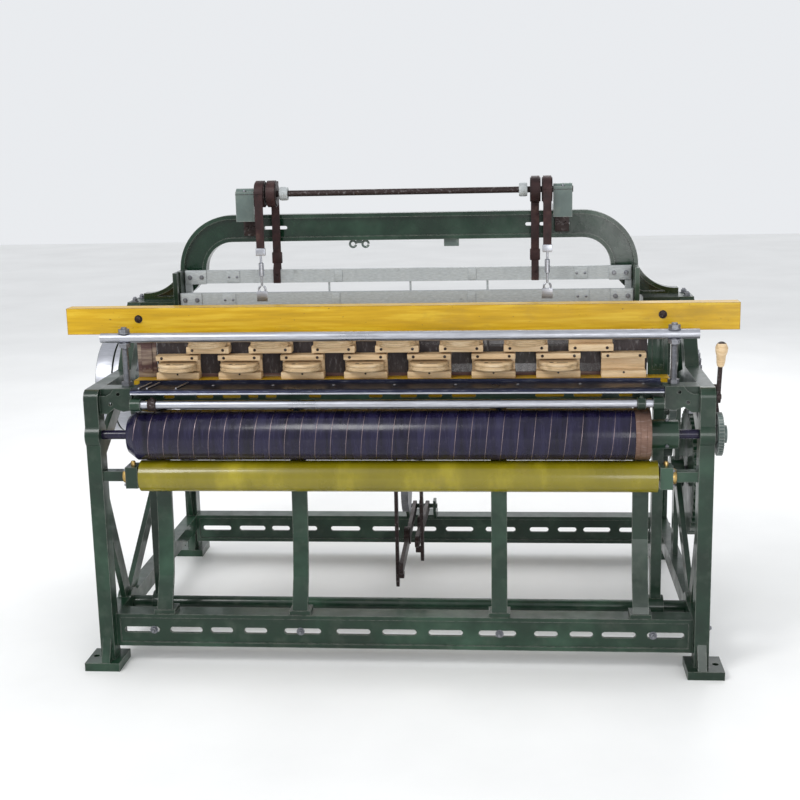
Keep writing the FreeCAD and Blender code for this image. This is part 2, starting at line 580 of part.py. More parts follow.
def connecting_arm():
    x0, x1 = ARM_X - ARM_THICK / 2, ARM_X + ARM_THICK / 2
    eye = (PIVOT_Y, CRANK_Z)
    arm = fuse(bar_yz(CRANK_PIN, eye, 34, x0, x1), rod(x0, x1, *CRANK_PIN, 32), rod(x0, x1, *eye, 26))
    return cut(arm, rod(x0 - 1, x1 + 1, *CRANK_PIN, CRANK_R - 4 + RUN), rod(x0 - 1, x1 + 1, *eye, 12))


def tappets():
    """Two eccentric discs, one at its lowest point and one at its highest."""
    discs = []
    for side, shift in ((-1, -40), (1, 40)):
        x = side * TREADLE_X
        disc = rod(x - 11, x + 11, TAPPET[0], TAPPET[1] + shift, 92)
        discs.append(disc.cut(rod(x - 20, x + 20, *TAPPET, TAPPET_R)))
    return Part.makeCompound(discs)


def shaft_bushes():
    return Part.makeCompound([pair(ring(FRAME_INNER, FRAME_OUTER, *axis, r + BUSH_WALL, r + RUN))
                              for axis, r in ((CRANK, CRANK_R), (TAPPET, TAPPET_R))])


# ---------------------------------------------------------------- sley
def sword():
    x0, x1 = SWORD_X - SWORD_WIDTH / 2, SWORD_X + SWORD_WIDTH / 2
    y0, y1 = PIVOT_Y - SWORD_DEPTH / 2 + 1, PIVOT_Y + SWORD_DEPTH / 2
    blade = box(x0, x1, y0, y1, PIVOT_Z, CAP_BOTTOM + CAP_HEIGHT - 8)
    stub = rod(x1 - 2, ARM_X - ARM_THICK / 2 - 1, PIVOT_Y, CRANK_Z, 14)
    boss = rod(x0 - 8, x1 + 8, *PIVOT, 34)
    return fuse(blade, stub, boss).cut(rod(x0 - 9, x1 + 9, *PIVOT, ROCKING_R))


def sley_cap():
    back = CAP_FRONT + CAP_DEPTH
    return box(-CAP_HALF_LENGTH, CAP_HALF_LENGTH, CAP_FRONT, back, CAP_BOTTOM, CAP_BOTTOM + CAP_HEIGHT)


def sley_board():
    back = CAP_FRONT + CAP_DEPTH
    return box(-BOARD_HALF_LENGTH, BOARD_HALF_LENGTH, back - BOARD_DEPTH, back, BOARD_BOTTOM, BOARD_TOP)


def sley_end_plate():
    back = CAP_FRONT + CAP_DEPTH
    return box(REED_HALF_LENGTH + 2, BOARD_HALF_LENGTH, back - 10, back, BOARD_TOP, CAP_BOTTOM)


def block_places(count):
    return [(k - (count - 1) / 2) * BLOCK_PITCH for k in range(count)]


def shuttle_blocks(count, foot):
    """Wooden blocks, each two plates on a back strip, open between the plates for the shuttle."""
    top = foot + BLOCK_HEIGHT if foot == BOARD_TOP else CAP_BOTTOM
    blocks = []
    for x in block_places(count):
        a, b = x - BLOCK_WIDTH / 2, x + BLOCK_WIDTH / 2
        plates = [box(a, b, BLOCK_FRONT, BLOCK_FRONT + BLOCK_DEPTH - 12, foot, foot + BLOCK_PLATE - 1),
                  box(a, b, BLOCK_FRONT, BLOCK_FRONT + BLOCK_DEPTH - 12, top - BLOCK_PLATE + 5, top),
                  box(a, b, BLOCK_FRONT + BLOCK_DEPTH - 20, BLOCK_FRONT + BLOCK_DEPTH - 12, foot, top)]
        blocks.append(fuse(*plates))
    return Part.makeCompound(blocks)


def shuttles(count, foot, top):
    """Half-moon shuttles: round in front, straight behind, one in each block but the last."""
    middle = (foot + BLOCK_PLATE - 1 + top - BLOCK_PLATE + 5) / 2
    thick = min(SHUTTLE_THICK, top - foot - 2 * BLOCK_PLATE + 2)
    made = []
    for x in block_places(count)[:-1]:
        disc = Part.makeCylinder(SHUTTLE_R, thick, V(x, SHUTTLE_Y, middle - thick / 2))
        back = box(x - 80, x + 80, BLOCK_FRONT + BLOCK_DEPTH - 22, SHUTTLE_Y + 80, foot, top)
        bore = Part.makeCylinder(4, thick + 4, V(x, SHUTTLE_Y - 14, middle - thick / 2 - 2))
        made.append(cut(disc, back, bore))
    return Part.makeCompound(made)


def reed():
    y0 = CAP_FRONT + BLOCK_DEPTH - 9
    x, y1 = REED_HALF_LENGTH, y0 + 7
    solid = [box(-x, x, y0, y1, BOARD_TOP, BOARD_TOP + 10), box(-x, x, y0, y1, CAP_BOTTOM - 10, CAP_BOTTOM)]
    steps = int(2 * x / REED_PITCH)
    for k in range(steps + 1):
        a = -x + k * (2 * x - REED_DENT) / steps
        solid.append(box(a, a + REED_DENT, y0, y1, BOARD_TOP + 5, CAP_BOTTOM - 5))
    return fuse(*solid)


def sley_bolts():
    front = [hex_bolt(V(s * SWORD_X, CAP_FRONT, CAP_BOTTOM + 43), V(0, -1, 0), 7, 7) for s in (-1, 1)]
    low = [hex_bolt(V(s * (SWORD_X - 9), CAP_FRONT + CAP_DEPTH - BOARD_DEPTH, (BOARD_BOTTOM + BOARD_TOP) / 2),
                    V(0, -1, 0), 4, 5) for s in (-1, 1)]
    return Part.makeCompound(front + low)


# ---------------------------------------------------------------- cloth side
def take_up_roller():
    a, b = NAVY_ENDS
    hollow = rod(a + 30, b - 8, *NAVY_AXIS, NAVY_R - TUBE_WALL)
    barrel = rod(a + 24, b, *NAVY_AXIS, NAVY_R).cut(hollow)
    nose = Part.makeCone(NAVY_R - 18, NAVY_R, 24, V(a, *NAVY_AXIS), X_AXIS)
    return fuse(barrel, nose, rod(-FRAME_OUTER + 4, FRAME_OUTER + 34, *NAVY_AXIS, ROLLER_SHAFT_R))


def take_up_hub():
    b = NAVY_ENDS[1]
    ring_part = rod(b, b + 42, *NAVY_AXIS, NAVY_R - 3)
    hub = rod(b + 40, b + 115, *NAVY_AXIS, 39)
    return fuse(ring_part, hub).cut(rod(b - 1, b + 120, *NAVY_AXIS, ROLLER_SHAFT_R))


def take_up_ratchet():
    """Forty saw teeth on a wheel outside the right-hand frame."""
    y, z = NAVY_AXIS
    points = []
    for k in range(40):
        a = 2 * math.pi * k / 40
        points.append((y + 58 * math.cos(a), z + 58 * math.sin(a)))
        b = a + 2 * math.pi / 40 * 0.92
        points.append((y + 52 * math.cos(b), z + 52 * math.sin(b)))
    wheel = plate_yz(points, FRAME_OUTER + 6, FRAME_OUTER + 20)
    hub = rod(FRAME_OUTER + 4, FRAME_OUTER + 32, y, z, 24)
    return fuse(wheel, hub).cut(rod(FRAME_OUTER, FRAME_OUTER + 40, y, z, ROLLER_SHAFT_R))


def pawl():
    x0, x1 = FRAME_OUTER + 6, FRAME_OUTER + 20
    y, z = PAWL_PIVOT
    outline = [(y - 8, z - 9), (y + 4, z - 12), (y - 59, z - 63), (y - 64.5, z - 57.5), (y - 61, z - 53)]
    blade = plate_yz(outline, x0, x1)
    stud = rod(FRAME_INNER + 10, x1 + 4, y, z, PAWL_STUD_R)
    return fuse(blade, rod(x0 - 4, x1, y, z, 14), stud)


def cloth_roller():
    x, end = CLOTH_BRACKET_X - 5, CLOTH_BRACKET_X + CLOTH_BRACKET_WIDTH + 2
    hollow = rod(8 - x, x - 8, *CLOTH_AXIS, CLOTH_R - TUBE_WALL)
    return fuse(rod(-x, x, *CLOTH_AXIS, CLOTH_R).cut(hollow), rod(-end, end, *CLOTH_AXIS, ROLLER_SHAFT_R))


def cloth_roller_bracket():
    y, z = CLOTH_AXIS
    x0, x1 = CLOTH_BRACKET_X, CLOTH_BRACKET_X + CLOTH_BRACKET_WIDTH
    block = box(x0, x1, y - 28, y + 28, z - 30, z + 30)
    arm = box(x1 - 2, FRAME_INNER, y - 10, y + 20, z - 14, z + 14)
    return fuse(block, arm).cut(rod(x0 - 1, x1 + 4, y, z, ROLLER_SHAFT_R + RUN))


def breast_plate():
    y, z = FRONT_RAIL_Y, TOP_RAIL_TOP
    outline = [(y - 29, z), (y + 58, z), (y + 61, z + 1), (y + 61, z + 12), (y + 57, z + 12),
               (y + 57, z + 4), (y - 31, z + 4), (y - 38, z + 1), (y - 42, z - 9), (y - 38, z - 9),
               (y - 35, z - 2)]
    return plate_yz(outline, -BREAST_HALF, BREAST_HALF)


def wire_guides():
    """Slanted guide wires on the left end of the breast plate."""
    made = []
    for inset in WIRE_GUIDE_INSETS:
        x = inset - BREAST_HALF
        start = V(x, FRONT_RAIL_Y - 30, TOP_RAIL_TOP + 6.5)
        end = V(x + 14, FRONT_RAIL_Y + 50, TOP_RAIL_TOP + 7)
        made.append(Part.makeCylinder(2.2, (end - start).Length, start, end - start))
    return Part.makeCompound(made)


def guide_bar_bracket():
    y, z = GUIDE_BAR_Y, GUIDE_BAR_Z
    x0, x1 = GUIDE_BAR_HALF - 4, GUIDE_BAR_HALF + 24
    block = fuse(box(x0, x1, y, FRONT_RAIL_Y, z - 11, z + 14), rod(x0, x1, y, z, 17))
    block = block.cut(rod(x0 - 6, GUIDE_BAR_HALF + 9, y, z, GUIDE_BAR_R))
    return block.cut(breast_plate())


def guard_tube():
    x = GUARD_HALF_LENGTH
    tube = ring(-x, x, GUARD_Y, GUARD_Z, GUARD_R, GUARD_R - 3.2)
    holes = [Part.makeCylinder(8.5, 60, V(s * GUARD_POST_X, GUARD_Y, GUARD_Z - 30)) for s in (-1, 1)]
    return cut(tube, *holes)


def guard_posts():
    """Threaded studs that hold the guard tube between nuts."""
    made = []
    for s in (-1, 1):
        base = V(s * GUARD_POST_X, GUARD_Y, TOP_RAIL_TOP)
        stud = Part.makeCylinder(8, GUARD_Z + 30 - TOP_RAIL_TOP, base)
        seats = (base.z, GUARD_Z - GUARD_R - 12, GUARD_Z + GUARD_R + 0.3)
        nuts = [hex_bolt(V(base.x, base.y, z), Z_AXIS, 8, 11) for z in seats]
        made.append(fuse(stud, *nuts))
    return Part.makeCompound(made)


def starting_handle():
    y, z = HANDLE
    x0, x1 = FRAME_OUTER + 4, FRAME_OUTER + 14
    knob = Part.makeSphere(15, V((x0 + x1) / 2, y - 34, z + 138))
    return fuse(bar_yz((y, z), (y - 32, z + 128), 14, x0, x1), rod(x0, x1, y, z, 17),
                rod(FRAME_INNER + 8, x1 + 3, y, z, 7), knob)


def frame_bolts():
    made = []
    for s in (-1, 1):
        for x in (PEDESTALS[0], PEDESTALS[1] + 34):
            made.append(hex_bolt(V(s * x, FRONT_RAIL_Y + RAIL_LIP, RAIL_MIDDLE), V(0, -1, 0), 7, 8))
        for y in (FRONT_RAIL_Y + 30, REAR_RAIL_Y + 30):
            made.append(hex_bolt(V(s * FRAME_OUTER, y, RAIL_MIDDLE + 14), V(s, 0, 0), 8, 9))
        for y in (SEAT[0] + 22, SEAT[1] - 22):
            made.append(hex_bolt(V(s * (FRAME_OUTER - 18), y, ARCH_FOOT_Z), Z_AXIS, 7, 8))
    return Part.makeCompound(made)


# ---------------------------------------------------------------- rear
def warp_beam():
    inner = WARP_HALF_LENGTH - 8
    barrel = rod(-WARP_HALF_LENGTH, WARP_HALF_LENGTH, *WARP, WARP_BARREL_R)
    pieces = [barrel.cut(rod(-inner, inner, *WARP, WARP_BARREL_R - TUBE_WALL)),
              rod(-FRAME_OUTER + 4, FRAME_OUTER - 4, *WARP, TAPPET_R)]
    for s in (-1, 1):
        a, b = sorted((s * (WARP_HALF_LENGTH - 30), s * (WARP_HALF_LENGTH - 18)))
        pieces.append(rod(a, b, *WARP, WARP_FLANGE_R))
    return fuse(*pieces)


def back_rest_roller():
    x = FRAME_INNER - 10
    barrel = rod(-x, x, *BACK_REST, BACK_REST_R).cut(rod(8 - x, x - 8, *BACK_REST, BACK_REST_R - TUBE_WALL))
    return fuse(barrel, rod(-FRAME_OUTER + 4, FRAME_OUTER - 4, *BACK_REST, ROLLER_SHAFT_R))


# ---------------------------------------------------------------- the nodes
def main():
    right = side_frame()
    save("right_side_frame", right)
    save("left_side_frame", mirrored(right))
    save("front_bottom_rail", channel(FRONT_RAIL_Y, RAIL_BOTTOM, RAIL_TOP, RAIL_DEPTH, RAIL_WALL,
                                      RAIL_SLOTS, SLOT_HEIGHT))
    save("rear_bottom_rail", channel(REAR_RAIL_Y, RAIL_BOTTOM, RAIL_TOP, RAIL_DEPTH, RAIL_WALL,
                                     RAIL_SLOTS, SLOT_HEIGHT))
    save("front_top_rail", front_top_rail())
    save("rear_top_rail", rear_top_rail())
    save("arch", arch())
    save("pedestals", Part.makeCompound([pair(pedestal(x)) for x in PEDESTALS]))
    save("corner_brackets", pair(corner_bracket()))
    save("frame_bolts", frame_bolts())
    save("top_bearings", Part.makeCompound([pair(top_bearing()), pair(top_bearing_cap())]))
    save("heald_guides", pair(heald_guide()))
    save("shaft_bushes", shaft_bushes())
    save("treadle_bracket", treadle_bracket())
    save("cloth_roller_brackets", pair(cloth_roller_bracket()))
    save("breast_plate", breast_plate())
    save("wire_guides", wire_guides())
    save("guide_bar", rod(-GUIDE_BAR_HALF - 8, GUIDE_BAR_HALF + 8, GUIDE_BAR_Y, GUIDE_BAR_Z, GUIDE_BAR_R))
    save("guide_bar_brackets", pair(guide_bar_bracket()))
    save("guard_tube", guard_tube())
    save("guard_posts", guard_posts())
    save("starting_handle", starting_handle())

    save("top_shaft", rod(-TOP_BEARING_X - 30, TOP_BEARING_X + 30, SHAFT_Y, SHAFT_Z, SHAFT_R))
    save("strap_drums", strap_drums())
    save("strap_wraps", strap_wraps())
    save("front_straps", straps(STRAP_X[0], -1, HEALD_FRONT_TOP, SHAFT_Z))
    save("rear_straps", straps(STRAP_X[1], 1, HEALD_REAR_TOP, SHAFT_Z + DRUM_R))
    save("front_heald_frame", heald_frame(HEALD_FRONT_Y, HEALD_FRONT_TOP))
    save("rear_heald_frame", heald_frame(HEALD_REAR_Y, HEALD_REAR_TOP))
    save("front_frame_hook", frame_hook(-1, HEALD_FRONT_Y, TREADLE_LOW, HEALD_FRONT_FOOT))
    save("rear_frame_hook", frame_hook(1, HEALD_REAR_Y, TREADLE_HIGH, HEALD_FRONT_FOOT + SHED_LIFT))
    save("front_treadle", treadle(-1, HEALD_FRONT_Y, TREADLE_LOW))
    save("rear_treadle", treadle(1, HEALD_REAR_Y, TREADLE_HIGH))

    save("crankshaft", crankshaft())
    save("crank_pinion", gear(PINION_TEETH, GEAR_MODULE, FRAME_OUTER + 10, FRAME_OUTER + 10 + GEAR_WIDTH,
                              *CRANK, CRANK_R, -math.pi / 2 + math.pi / PINION_TEETH))
    save("fast_pulley", pulley(-FRAME_OUTER - 20 - PULLEY_WIDTH, CRANK_R))
    save("loose_pulley", pulley(-FRAME_OUTER - 24 - 2 * PULLEY_WIDTH, CRANK_R + RUN))
    save("tappet_shaft", rod(-FRAME_OUTER + 4, FRAME_OUTER + 46, *TAPPET, TAPPET_R))
    save("tappet_gear", gear(GEAR_TEETH, GEAR_MODULE, FRAME_OUTER + 10, FRAME_OUTER + 10 + GEAR_WIDTH,
                             *TAPPET, TAPPET_R, math.pi / 2))
    save("tappets", tappets())
    arm = connecting_arm()
    save("right_connecting_arm", arm)
    save("left_connecting_arm", mirrored(arm))

    save("rocking_shaft", rod(-FRAME_OUTER + 4, FRAME_OUTER - 4, *PIVOT, ROCKING_R))
    save("sley_swords", pair(sword()))
    save("sley_cap", sley_cap())
    save("sley_board", sley_board())
    save("sley_end_plates", pair(sley_end_plate()))
    save("sley_bolts", sley_bolts())
    save("reed", reed())
    lower_top = BOARD_TOP + BLOCK_HEIGHT
    upper_foot = lower_top + BLOCK_TIER_GAP
    save("lower_shuttle_blocks", shuttle_blocks(LOWER_COUNT, BOARD_TOP))
    save("upper_shuttle_blocks", shuttle_blocks(UPPER_COUNT, upper_foot))
    save("lower_shuttles", shuttles(LOWER_COUNT, BOARD_TOP, lower_top))
    save("upper_shuttles", shuttles(UPPER_COUNT, upper_foot, CAP_BOTTOM))

    save("take_up_roller", take_up_roller())
    save("take_up_hub", take_up_hub())
    save("take_up_ratchet", take_up_ratchet())
    save("take_up_pawl", pawl())
    save("cloth_roller", cloth_roller())
    save("warp_beam", warp_beam())
    save("back_rest_roller", back_rest_roller())


main()
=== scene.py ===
"""Dresses the narrow-fabric power loom: paint, wood, steel and leather finishes on its CAD frame, and the
small pieces that finish it, such as seams, screws, threads, clamps and fittings. Metres, +Z up."""
import bpy
import bmesh
import json
import math
from mathutils import Matrix, Vector

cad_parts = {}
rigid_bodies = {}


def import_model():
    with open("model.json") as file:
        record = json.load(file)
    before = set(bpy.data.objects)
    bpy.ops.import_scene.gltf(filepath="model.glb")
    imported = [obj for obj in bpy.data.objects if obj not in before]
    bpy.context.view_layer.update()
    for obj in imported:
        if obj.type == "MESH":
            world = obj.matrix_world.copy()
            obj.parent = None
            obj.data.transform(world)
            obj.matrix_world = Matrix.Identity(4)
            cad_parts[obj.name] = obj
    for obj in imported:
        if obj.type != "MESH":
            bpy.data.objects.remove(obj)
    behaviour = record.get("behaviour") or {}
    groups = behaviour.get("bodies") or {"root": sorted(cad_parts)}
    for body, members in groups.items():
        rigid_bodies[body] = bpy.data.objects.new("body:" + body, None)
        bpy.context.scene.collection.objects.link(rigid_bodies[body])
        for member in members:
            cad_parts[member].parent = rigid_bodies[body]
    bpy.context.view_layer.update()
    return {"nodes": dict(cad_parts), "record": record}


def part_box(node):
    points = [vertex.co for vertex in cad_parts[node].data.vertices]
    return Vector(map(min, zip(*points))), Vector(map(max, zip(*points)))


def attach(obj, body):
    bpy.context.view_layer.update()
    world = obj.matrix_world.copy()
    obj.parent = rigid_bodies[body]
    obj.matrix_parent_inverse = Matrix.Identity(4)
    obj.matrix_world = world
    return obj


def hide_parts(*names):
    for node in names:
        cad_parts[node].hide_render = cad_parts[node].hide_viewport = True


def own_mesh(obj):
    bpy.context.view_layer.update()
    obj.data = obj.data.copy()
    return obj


bl_info = {
    "name": "Power loom dresser",
    "version": (1, 0, 0),
    "blender": (4, 5, 0),
    "location": "View3D > Sidebar > Loom",
    "description": "Finishes and small pieces of a narrow-fabric power loom",
    "category": "Object",
}

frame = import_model()
NODES = frame["nodes"]
BODY_OF = {node: body for body, names in frame["record"]["behaviour"]["bodies"].items() for node in names}

RIGHT, FRONT, UP, DOWN = (1, 0, 0), (0, -1, 0), (0, 0, 1), (0, 0, -1)

# places along the loom that its nodes don't give
HANGER_RINGS_X = (-0.160, -0.122)
SHAFT_COLLAR_X = 0.340
HEALD_JOINT_X = 0.52
HEALD_STAY_X = 0.20
CAP_STRAP_X = (-0.800, -0.700)
GUIDE_COLLAR_X = 0.655
HANDLE_X = 0.859

# roller surfaces
SEAM_HEIGHT = 0.0009
NOSE_LENGTH = 0.024
NOSE_TAPER = 0.018
WARP_BARREL_R = 0.0500
FLANGE_THICK = 0.013

# studio: each light is (name, place, aim, size, watts)
FLOOR_LOW, FLOOR_HIGH = (-14, -9, -0.03), (14, 14, 0)
AIR_COLOUR, AIR_STRENGTH = (0.93, 0.95, 0.98, 1), 0.88
LIGHTS = (("key", (-2.4, -3.6, 4.2), (0, -0.3, 0.8), 1.8, 120),
          ("fill", (1.6, -4.6, 1.3), (0, -0.3, 0.7), 1.6, 42),
          ("rim", (0.6, 3.4, 3.6), (0, 0, 0.9), 3.0, 80))
CAMERA_PLACE = (0.3223, -3.9179, 1.4836)
CAMERA_YAW, CAMERA_PITCH, CAMERA_ROLL = 0.0893, 0.2053, -0.0218
CAMERA_LENS, CAMERA_SENSOR = 58.5, 36


def low(node):
    """A node's lowest corner at rest."""
    return Vector(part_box(node)[0])


def high(node):
    return Vector(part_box(node)[1])


def middle(node):
    return (low(node) + high(node)) / 2


def colour_property(label, note, value):
    return bpy.props.FloatVectorProperty(name=label, description=note, default=value, size=3,
                                         subtype="COLOR", min=0, max=1)


def length_property(label, note, value):
    return bpy.props.FloatProperty(name=label, description=note, default=value, unit="LENGTH", min=0)


class LoomColours(bpy.types.PropertyGroup):
    """The paints and bare materials that a maker would choose."""
    enamel: colour_property("Machine green", "Enamel on the castings", (0.004, 0.024, 0.011))
    enamel_grey: colour_property("Greyed green", "Dusty enamel on small castings", (0.10, 0.135, 0.125))
    hand_rail: colour_property("Beam yellow", "Paint on the sley's cap and board", (0.53, 0.31, 0.002))
    cloth_roller: colour_property("Olive yellow", "Paint on the lower roller", (0.20, 0.165, 0.003))
    lacquer: colour_property("Roller blue-black", "Lacquer on the take-up roller", (0.003, 0.002, 0.009))
    steel: colour_property("Bright steel", "Drawn bars and tubes", (0.44, 0.45, 0.49))
    blued: colour_property("Blued steel", "Breast plate and small irons", (0.030, 0.034, 0.060))
    iron: colour_property("Brown iron", "Oiled shafts and levers", (0.026, 0.015, 0.014))
    aluminium: colour_property("Heald bar", "Grey-white aluminium", (0.42, 0.445, 0.45))
    birch: colour_property("Block wood", "Pale waxed wood", (0.72, 0.52, 0.30))
    leather: colour_property("Strap leather", "Oiled maroon leather", (0.030, 0.010, 0.010))
    floor: colour_property("Floor", "Pale studio floor", (0.91, 0.91, 0.90))


class LoomSizes(bpy.types.PropertyGroup):
    """Sizes of the small pieces that the frame itself doesn't set."""
    seam_pitch: length_property("Seam pitch", "Distance between the roller's spiral seams", 0.0415)
    seam_width: length_property("Seam width", "Width of one bright seam", 0.0012)
    screw_radius: length_property("Screw head", "Radius of the wood screws' heads", 0.0042)
    thread_pitch: length_property("Thread pitch", "Pitch of the guard posts' thread", 0.0035)
    edge_round: length_property("Wood edge", "Rounding of the wooden plates' edges", 0.0016)


def colours():
    return bpy.context.scene.loom_colours


def sizes():
    return bpy.context.scene.loom_sizes


# ------------------------------------------------------------------ materials
class Finish:
    """Builds one procedural material with short calls that return sockets."""

    def __init__(self, name, roughness=0.5, metallic=0.0, coat=0.0):
        self.material = bpy.data.materials.new(name)
        self.material.use_nodes = True
        self.tree = self.material.node_tree
        self.shader = self.tree.nodes["Principled BSDF"]
        self.shader.inputs["Roughness"].default_value = roughness
        self.shader.inputs["Metallic"].default_value = metallic
        self.shader.inputs["Coat Weight"].default_value = coat
        self.shader.inputs["Coat Roughness"].default_value = 0.12
        self.shader.inputs["Specular IOR Level"].default_value = 0.5 if metallic else 0.28
        self.place = self.tree.nodes.new("ShaderNodeTexCoord").outputs["Object"]
        self.height = None

    def node(self, kind, **inputs):
        made = self.tree.nodes.new("ShaderNode" + kind)
        for key, value in inputs.items():
            socket = made.inputs[key.replace("_", " ")]
            if isinstance(value, bpy.types.NodeSocket):
                self.tree.links.new(value, socket)
            else:
                socket.default_value = value
        return made

    def stretched(self, x, y, z):
        return self.node("Mapping", Vector=self.place, Scale=(x, y, z)).outputs["Vector"]

    def noise(self, scale, detail=4.0, roughness=0.55, place=None):
        made = self.node("TexNoise", Vector=place or self.place, Scale=scale, Detail=detail,
                         Roughness=roughness)
        return made.outputs["Fac"]

    def steps(self, value, *stops):
        """A colour ramp. Each stop is (position, grey or colour)."""
        made = self.tree.nodes.new("ShaderNodeValToRGB")
        ramp = made.color_ramp
        while len(ramp.elements) < len(stops):
            ramp.elements.new(0.5)
        for element, (position, shade) in zip(ramp.elements, stops):
            element.position = position
            element.color = (shade, shade, shade, 1) if isinstance(shade, (int, float)) else (*shade, 1)
        self.tree.links.new(value, made.inputs["Fac"])
        return made.outputs["Color"]

    def tones(self, value, colour, dark, plain, light):
        """A ramp from a darker shade, through the colour, to one that leans towards another."""
        (low_at, share), (high_at, other, lean) = dark, light
        return self.steps(value, (low_at, darker(colour, share)), (plain, colour),
                          (high_at, toward(colour, other, lean)))

    def mix(self, factor, first, second, mode="MIX"):
        made = self.tree.nodes.new("ShaderNodeMix")
        made.data_type = "RGBA"
        made.blend_type = mode
        for socket, value in ((made.inputs[0], factor), (made.inputs[6], first), (made.inputs[7], second)):
            if isinstance(value, bpy.types.NodeSocket):
                self.tree.links.new(value, socket)
            elif isinstance(value, (int, float)):
                socket.default_value = value
            else:
                socket.default_value = (*value, 1)
        return made.outputs[2]

    def edges(self, width=0.004):
        """1 near sharp edges and 0 on open faces, from how the surface bends."""
        bevel = self.tree.nodes.new("ShaderNodeBevel")
        bevel.samples = 6
        bevel.inputs["Radius"].default_value = width
        plain = self.tree.nodes.new("ShaderNodeNewGeometry").outputs["Normal"]
        dot = self.tree.nodes.new("ShaderNodeVectorMath")
        dot.operation = "DOT_PRODUCT"
        self.tree.links.new(bevel.outputs["Normal"], dot.inputs[0])
        self.tree.links.new(plain, dot.inputs[1])
        return self.steps(dot.outputs["Value"], (0.80, 1.0), (0.985, 0.0))

    def bump(self, height, strength, distance):
        made = self.node("Bump", Height=height, Strength=strength, Distance=distance)
        if self.height:
            self.tree.links.new(self.height, made.inputs["Normal"])
        self.height = made.outputs["Normal"]
        self.tree.links.new(self.height, self.shader.inputs["Normal"])

    def set(self, name, value):
        self.tree.links.new(value, self.shader.inputs[name])
        return self.material


def darker(colour, share):
    return tuple(c * share for c in colour)


def toward(colour, other, share):
    return tuple(a + (b - a) * share for a, b in zip(colour, other))


def enamel(name, colour, worn=(0.16, 0.17, 0.15), gloss=0.30, dust=0.25, grain=220.0, peel=0.35):
    """Brushed machine paint over a rough casting: pooled, dusty, rubbed to grey at its edges."""
    f = Finish(name, coat=0.35)
    pools = f.tones(f.noise(5.0), colour, (0.35, 0.62), 0.52, (0.72, (0.10, 0.22, 0.14), 0.22))
    film = f.steps(f.noise(23.0, 6), (0.52, 0.0), (0.74, dust))
    grime = f.mix(film, pools, toward(colour, (0.20, 0.22, 0.18), 0.40))
    chips = f.mix(f.noise(75.0, 5), f.edges(0.005), (0, 0, 0), "MULTIPLY")
    worn_edge = f.steps(chips, (0.30, 0.0), (0.48, 0.8))
    f.set("Base Color", f.mix(worn_edge, grime, worn))
    f.set("Roughness", f.steps(f.noise(14.0, 5), (0.35, gloss), (0.7, gloss + 0.24)))
    f.bump(f.noise(grain, 3), 0.25, 0.0006)
    f.bump(f.noise(16.0, 4), peel, 0.0012)
    return f.material


def beam_paint(name, colour):
    """Thick gloss paint on a wooden beam: faint grain, drips of oil, chips down to brown wood."""
    f = Finish(name, coat=0.25)
    along = f.stretched(0.6, 9.0, 9.0)
    grain = f.noise(9.0, 6, place=along)
    body = f.tones(grain, colour, (0.3, 0.80), 0.5, (0.75, (1, 0.80, 0.10), 0.30))
    stains = f.steps(f.noise(3.6, 7, 0.7, f.stretched(1.0, 1.0, 2.2)), (0.56, 0.0), (0.70, 0.55))
    soiled = f.mix(stains, body, (0.33, 0.20, 0.02))
    specks = f.steps(f.noise(120.0, 3), (0.70, 0.0), (0.74, 0.8))
    spotted = f.mix(specks, soiled, (0.07, 0.045, 0.02))
    chips = f.mix(f.noise(46.0, 6, 0.7), f.edges(0.006), (0, 0, 0), "MULTIPLY")
    chipped = f.steps(chips, (0.33, 0.0), (0.42, 0.9))
    f.set("Base Color", f.mix(chipped, spotted, (0.13, 0.075, 0.035)))
    f.set("Roughness", f.steps(f.noise(11.0), (0.3, 0.34), (0.7, 0.58)))
    f.bump(grain, 0.30, 0.0012)
    f.bump(chipped, -0.6, 0.0008)
    return f.material


def roller_paint(name, colour):
    """Olive paint on a rolled tube, rubbed in rings and scuffed along its length."""
    f = Finish(name, coat=0.55)
    rings = f.noise(4.0, 7, 0.6, f.stretched(2.4, 1.0, 1.0))
    body = f.tones(rings, colour, (0.25, 0.78), 0.5, (0.78, (0.8, 0.66, 0.05), 0.30))
    blots = f.steps(f.noise(13.0, 6, 0.65), (0.58, 0.0), (0.68, 0.6))
    spotted = f.mix(blots, body, (0.20, 0.16, 0.02))
    pale = f.steps(f.noise(52.0, 5, 0.7, f.stretched(0.5, 1.0, 1.0)), (0.68, 0.0), (0.74, 0.5))
    f.set("Base Color", f.mix(pale, spotted, (0.60, 0.54, 0.20)))
    f.set("Roughness", f.steps(f.noise(9.0), (0.3, 0.20), (0.7, 0.40)))
    f.bump(rings, 0.25, 0.0010)
    f.bump(f.noise(180.0, 3), 0.2, 0.0004)
    return f.material


def lacquer(name, colour):
    """Blue-black lacquer with soft smears and dust."""
    f = Finish(name, coat=0.12)
    smears = f.noise(6.0, 6, 0.65, f.stretched(7.0, 1.0, 1.0))
    body = f.steps(smears, (0.3, colour), (0.55, toward(colour, (0.016, 0.013, 0.045), 0.6)),
                   (0.78, (0.020, 0.018, 0.055)))
    dust = f.steps(f.noise(64.0, 5), (0.60, 0.0), (0.80, 0.18))
    f.set("Base Color", f.mix(dust, body, (0.11, 0.10, 0.13)))
    f.set("Roughness", f.steps(smears, (0.3, 0.16), (0.75, 0.36)))
    f.bump(f.noise(34.0, 4, place=f.stretched(3.0, 1.0, 1.0)), 0.25, 0.0008)
    return f.material


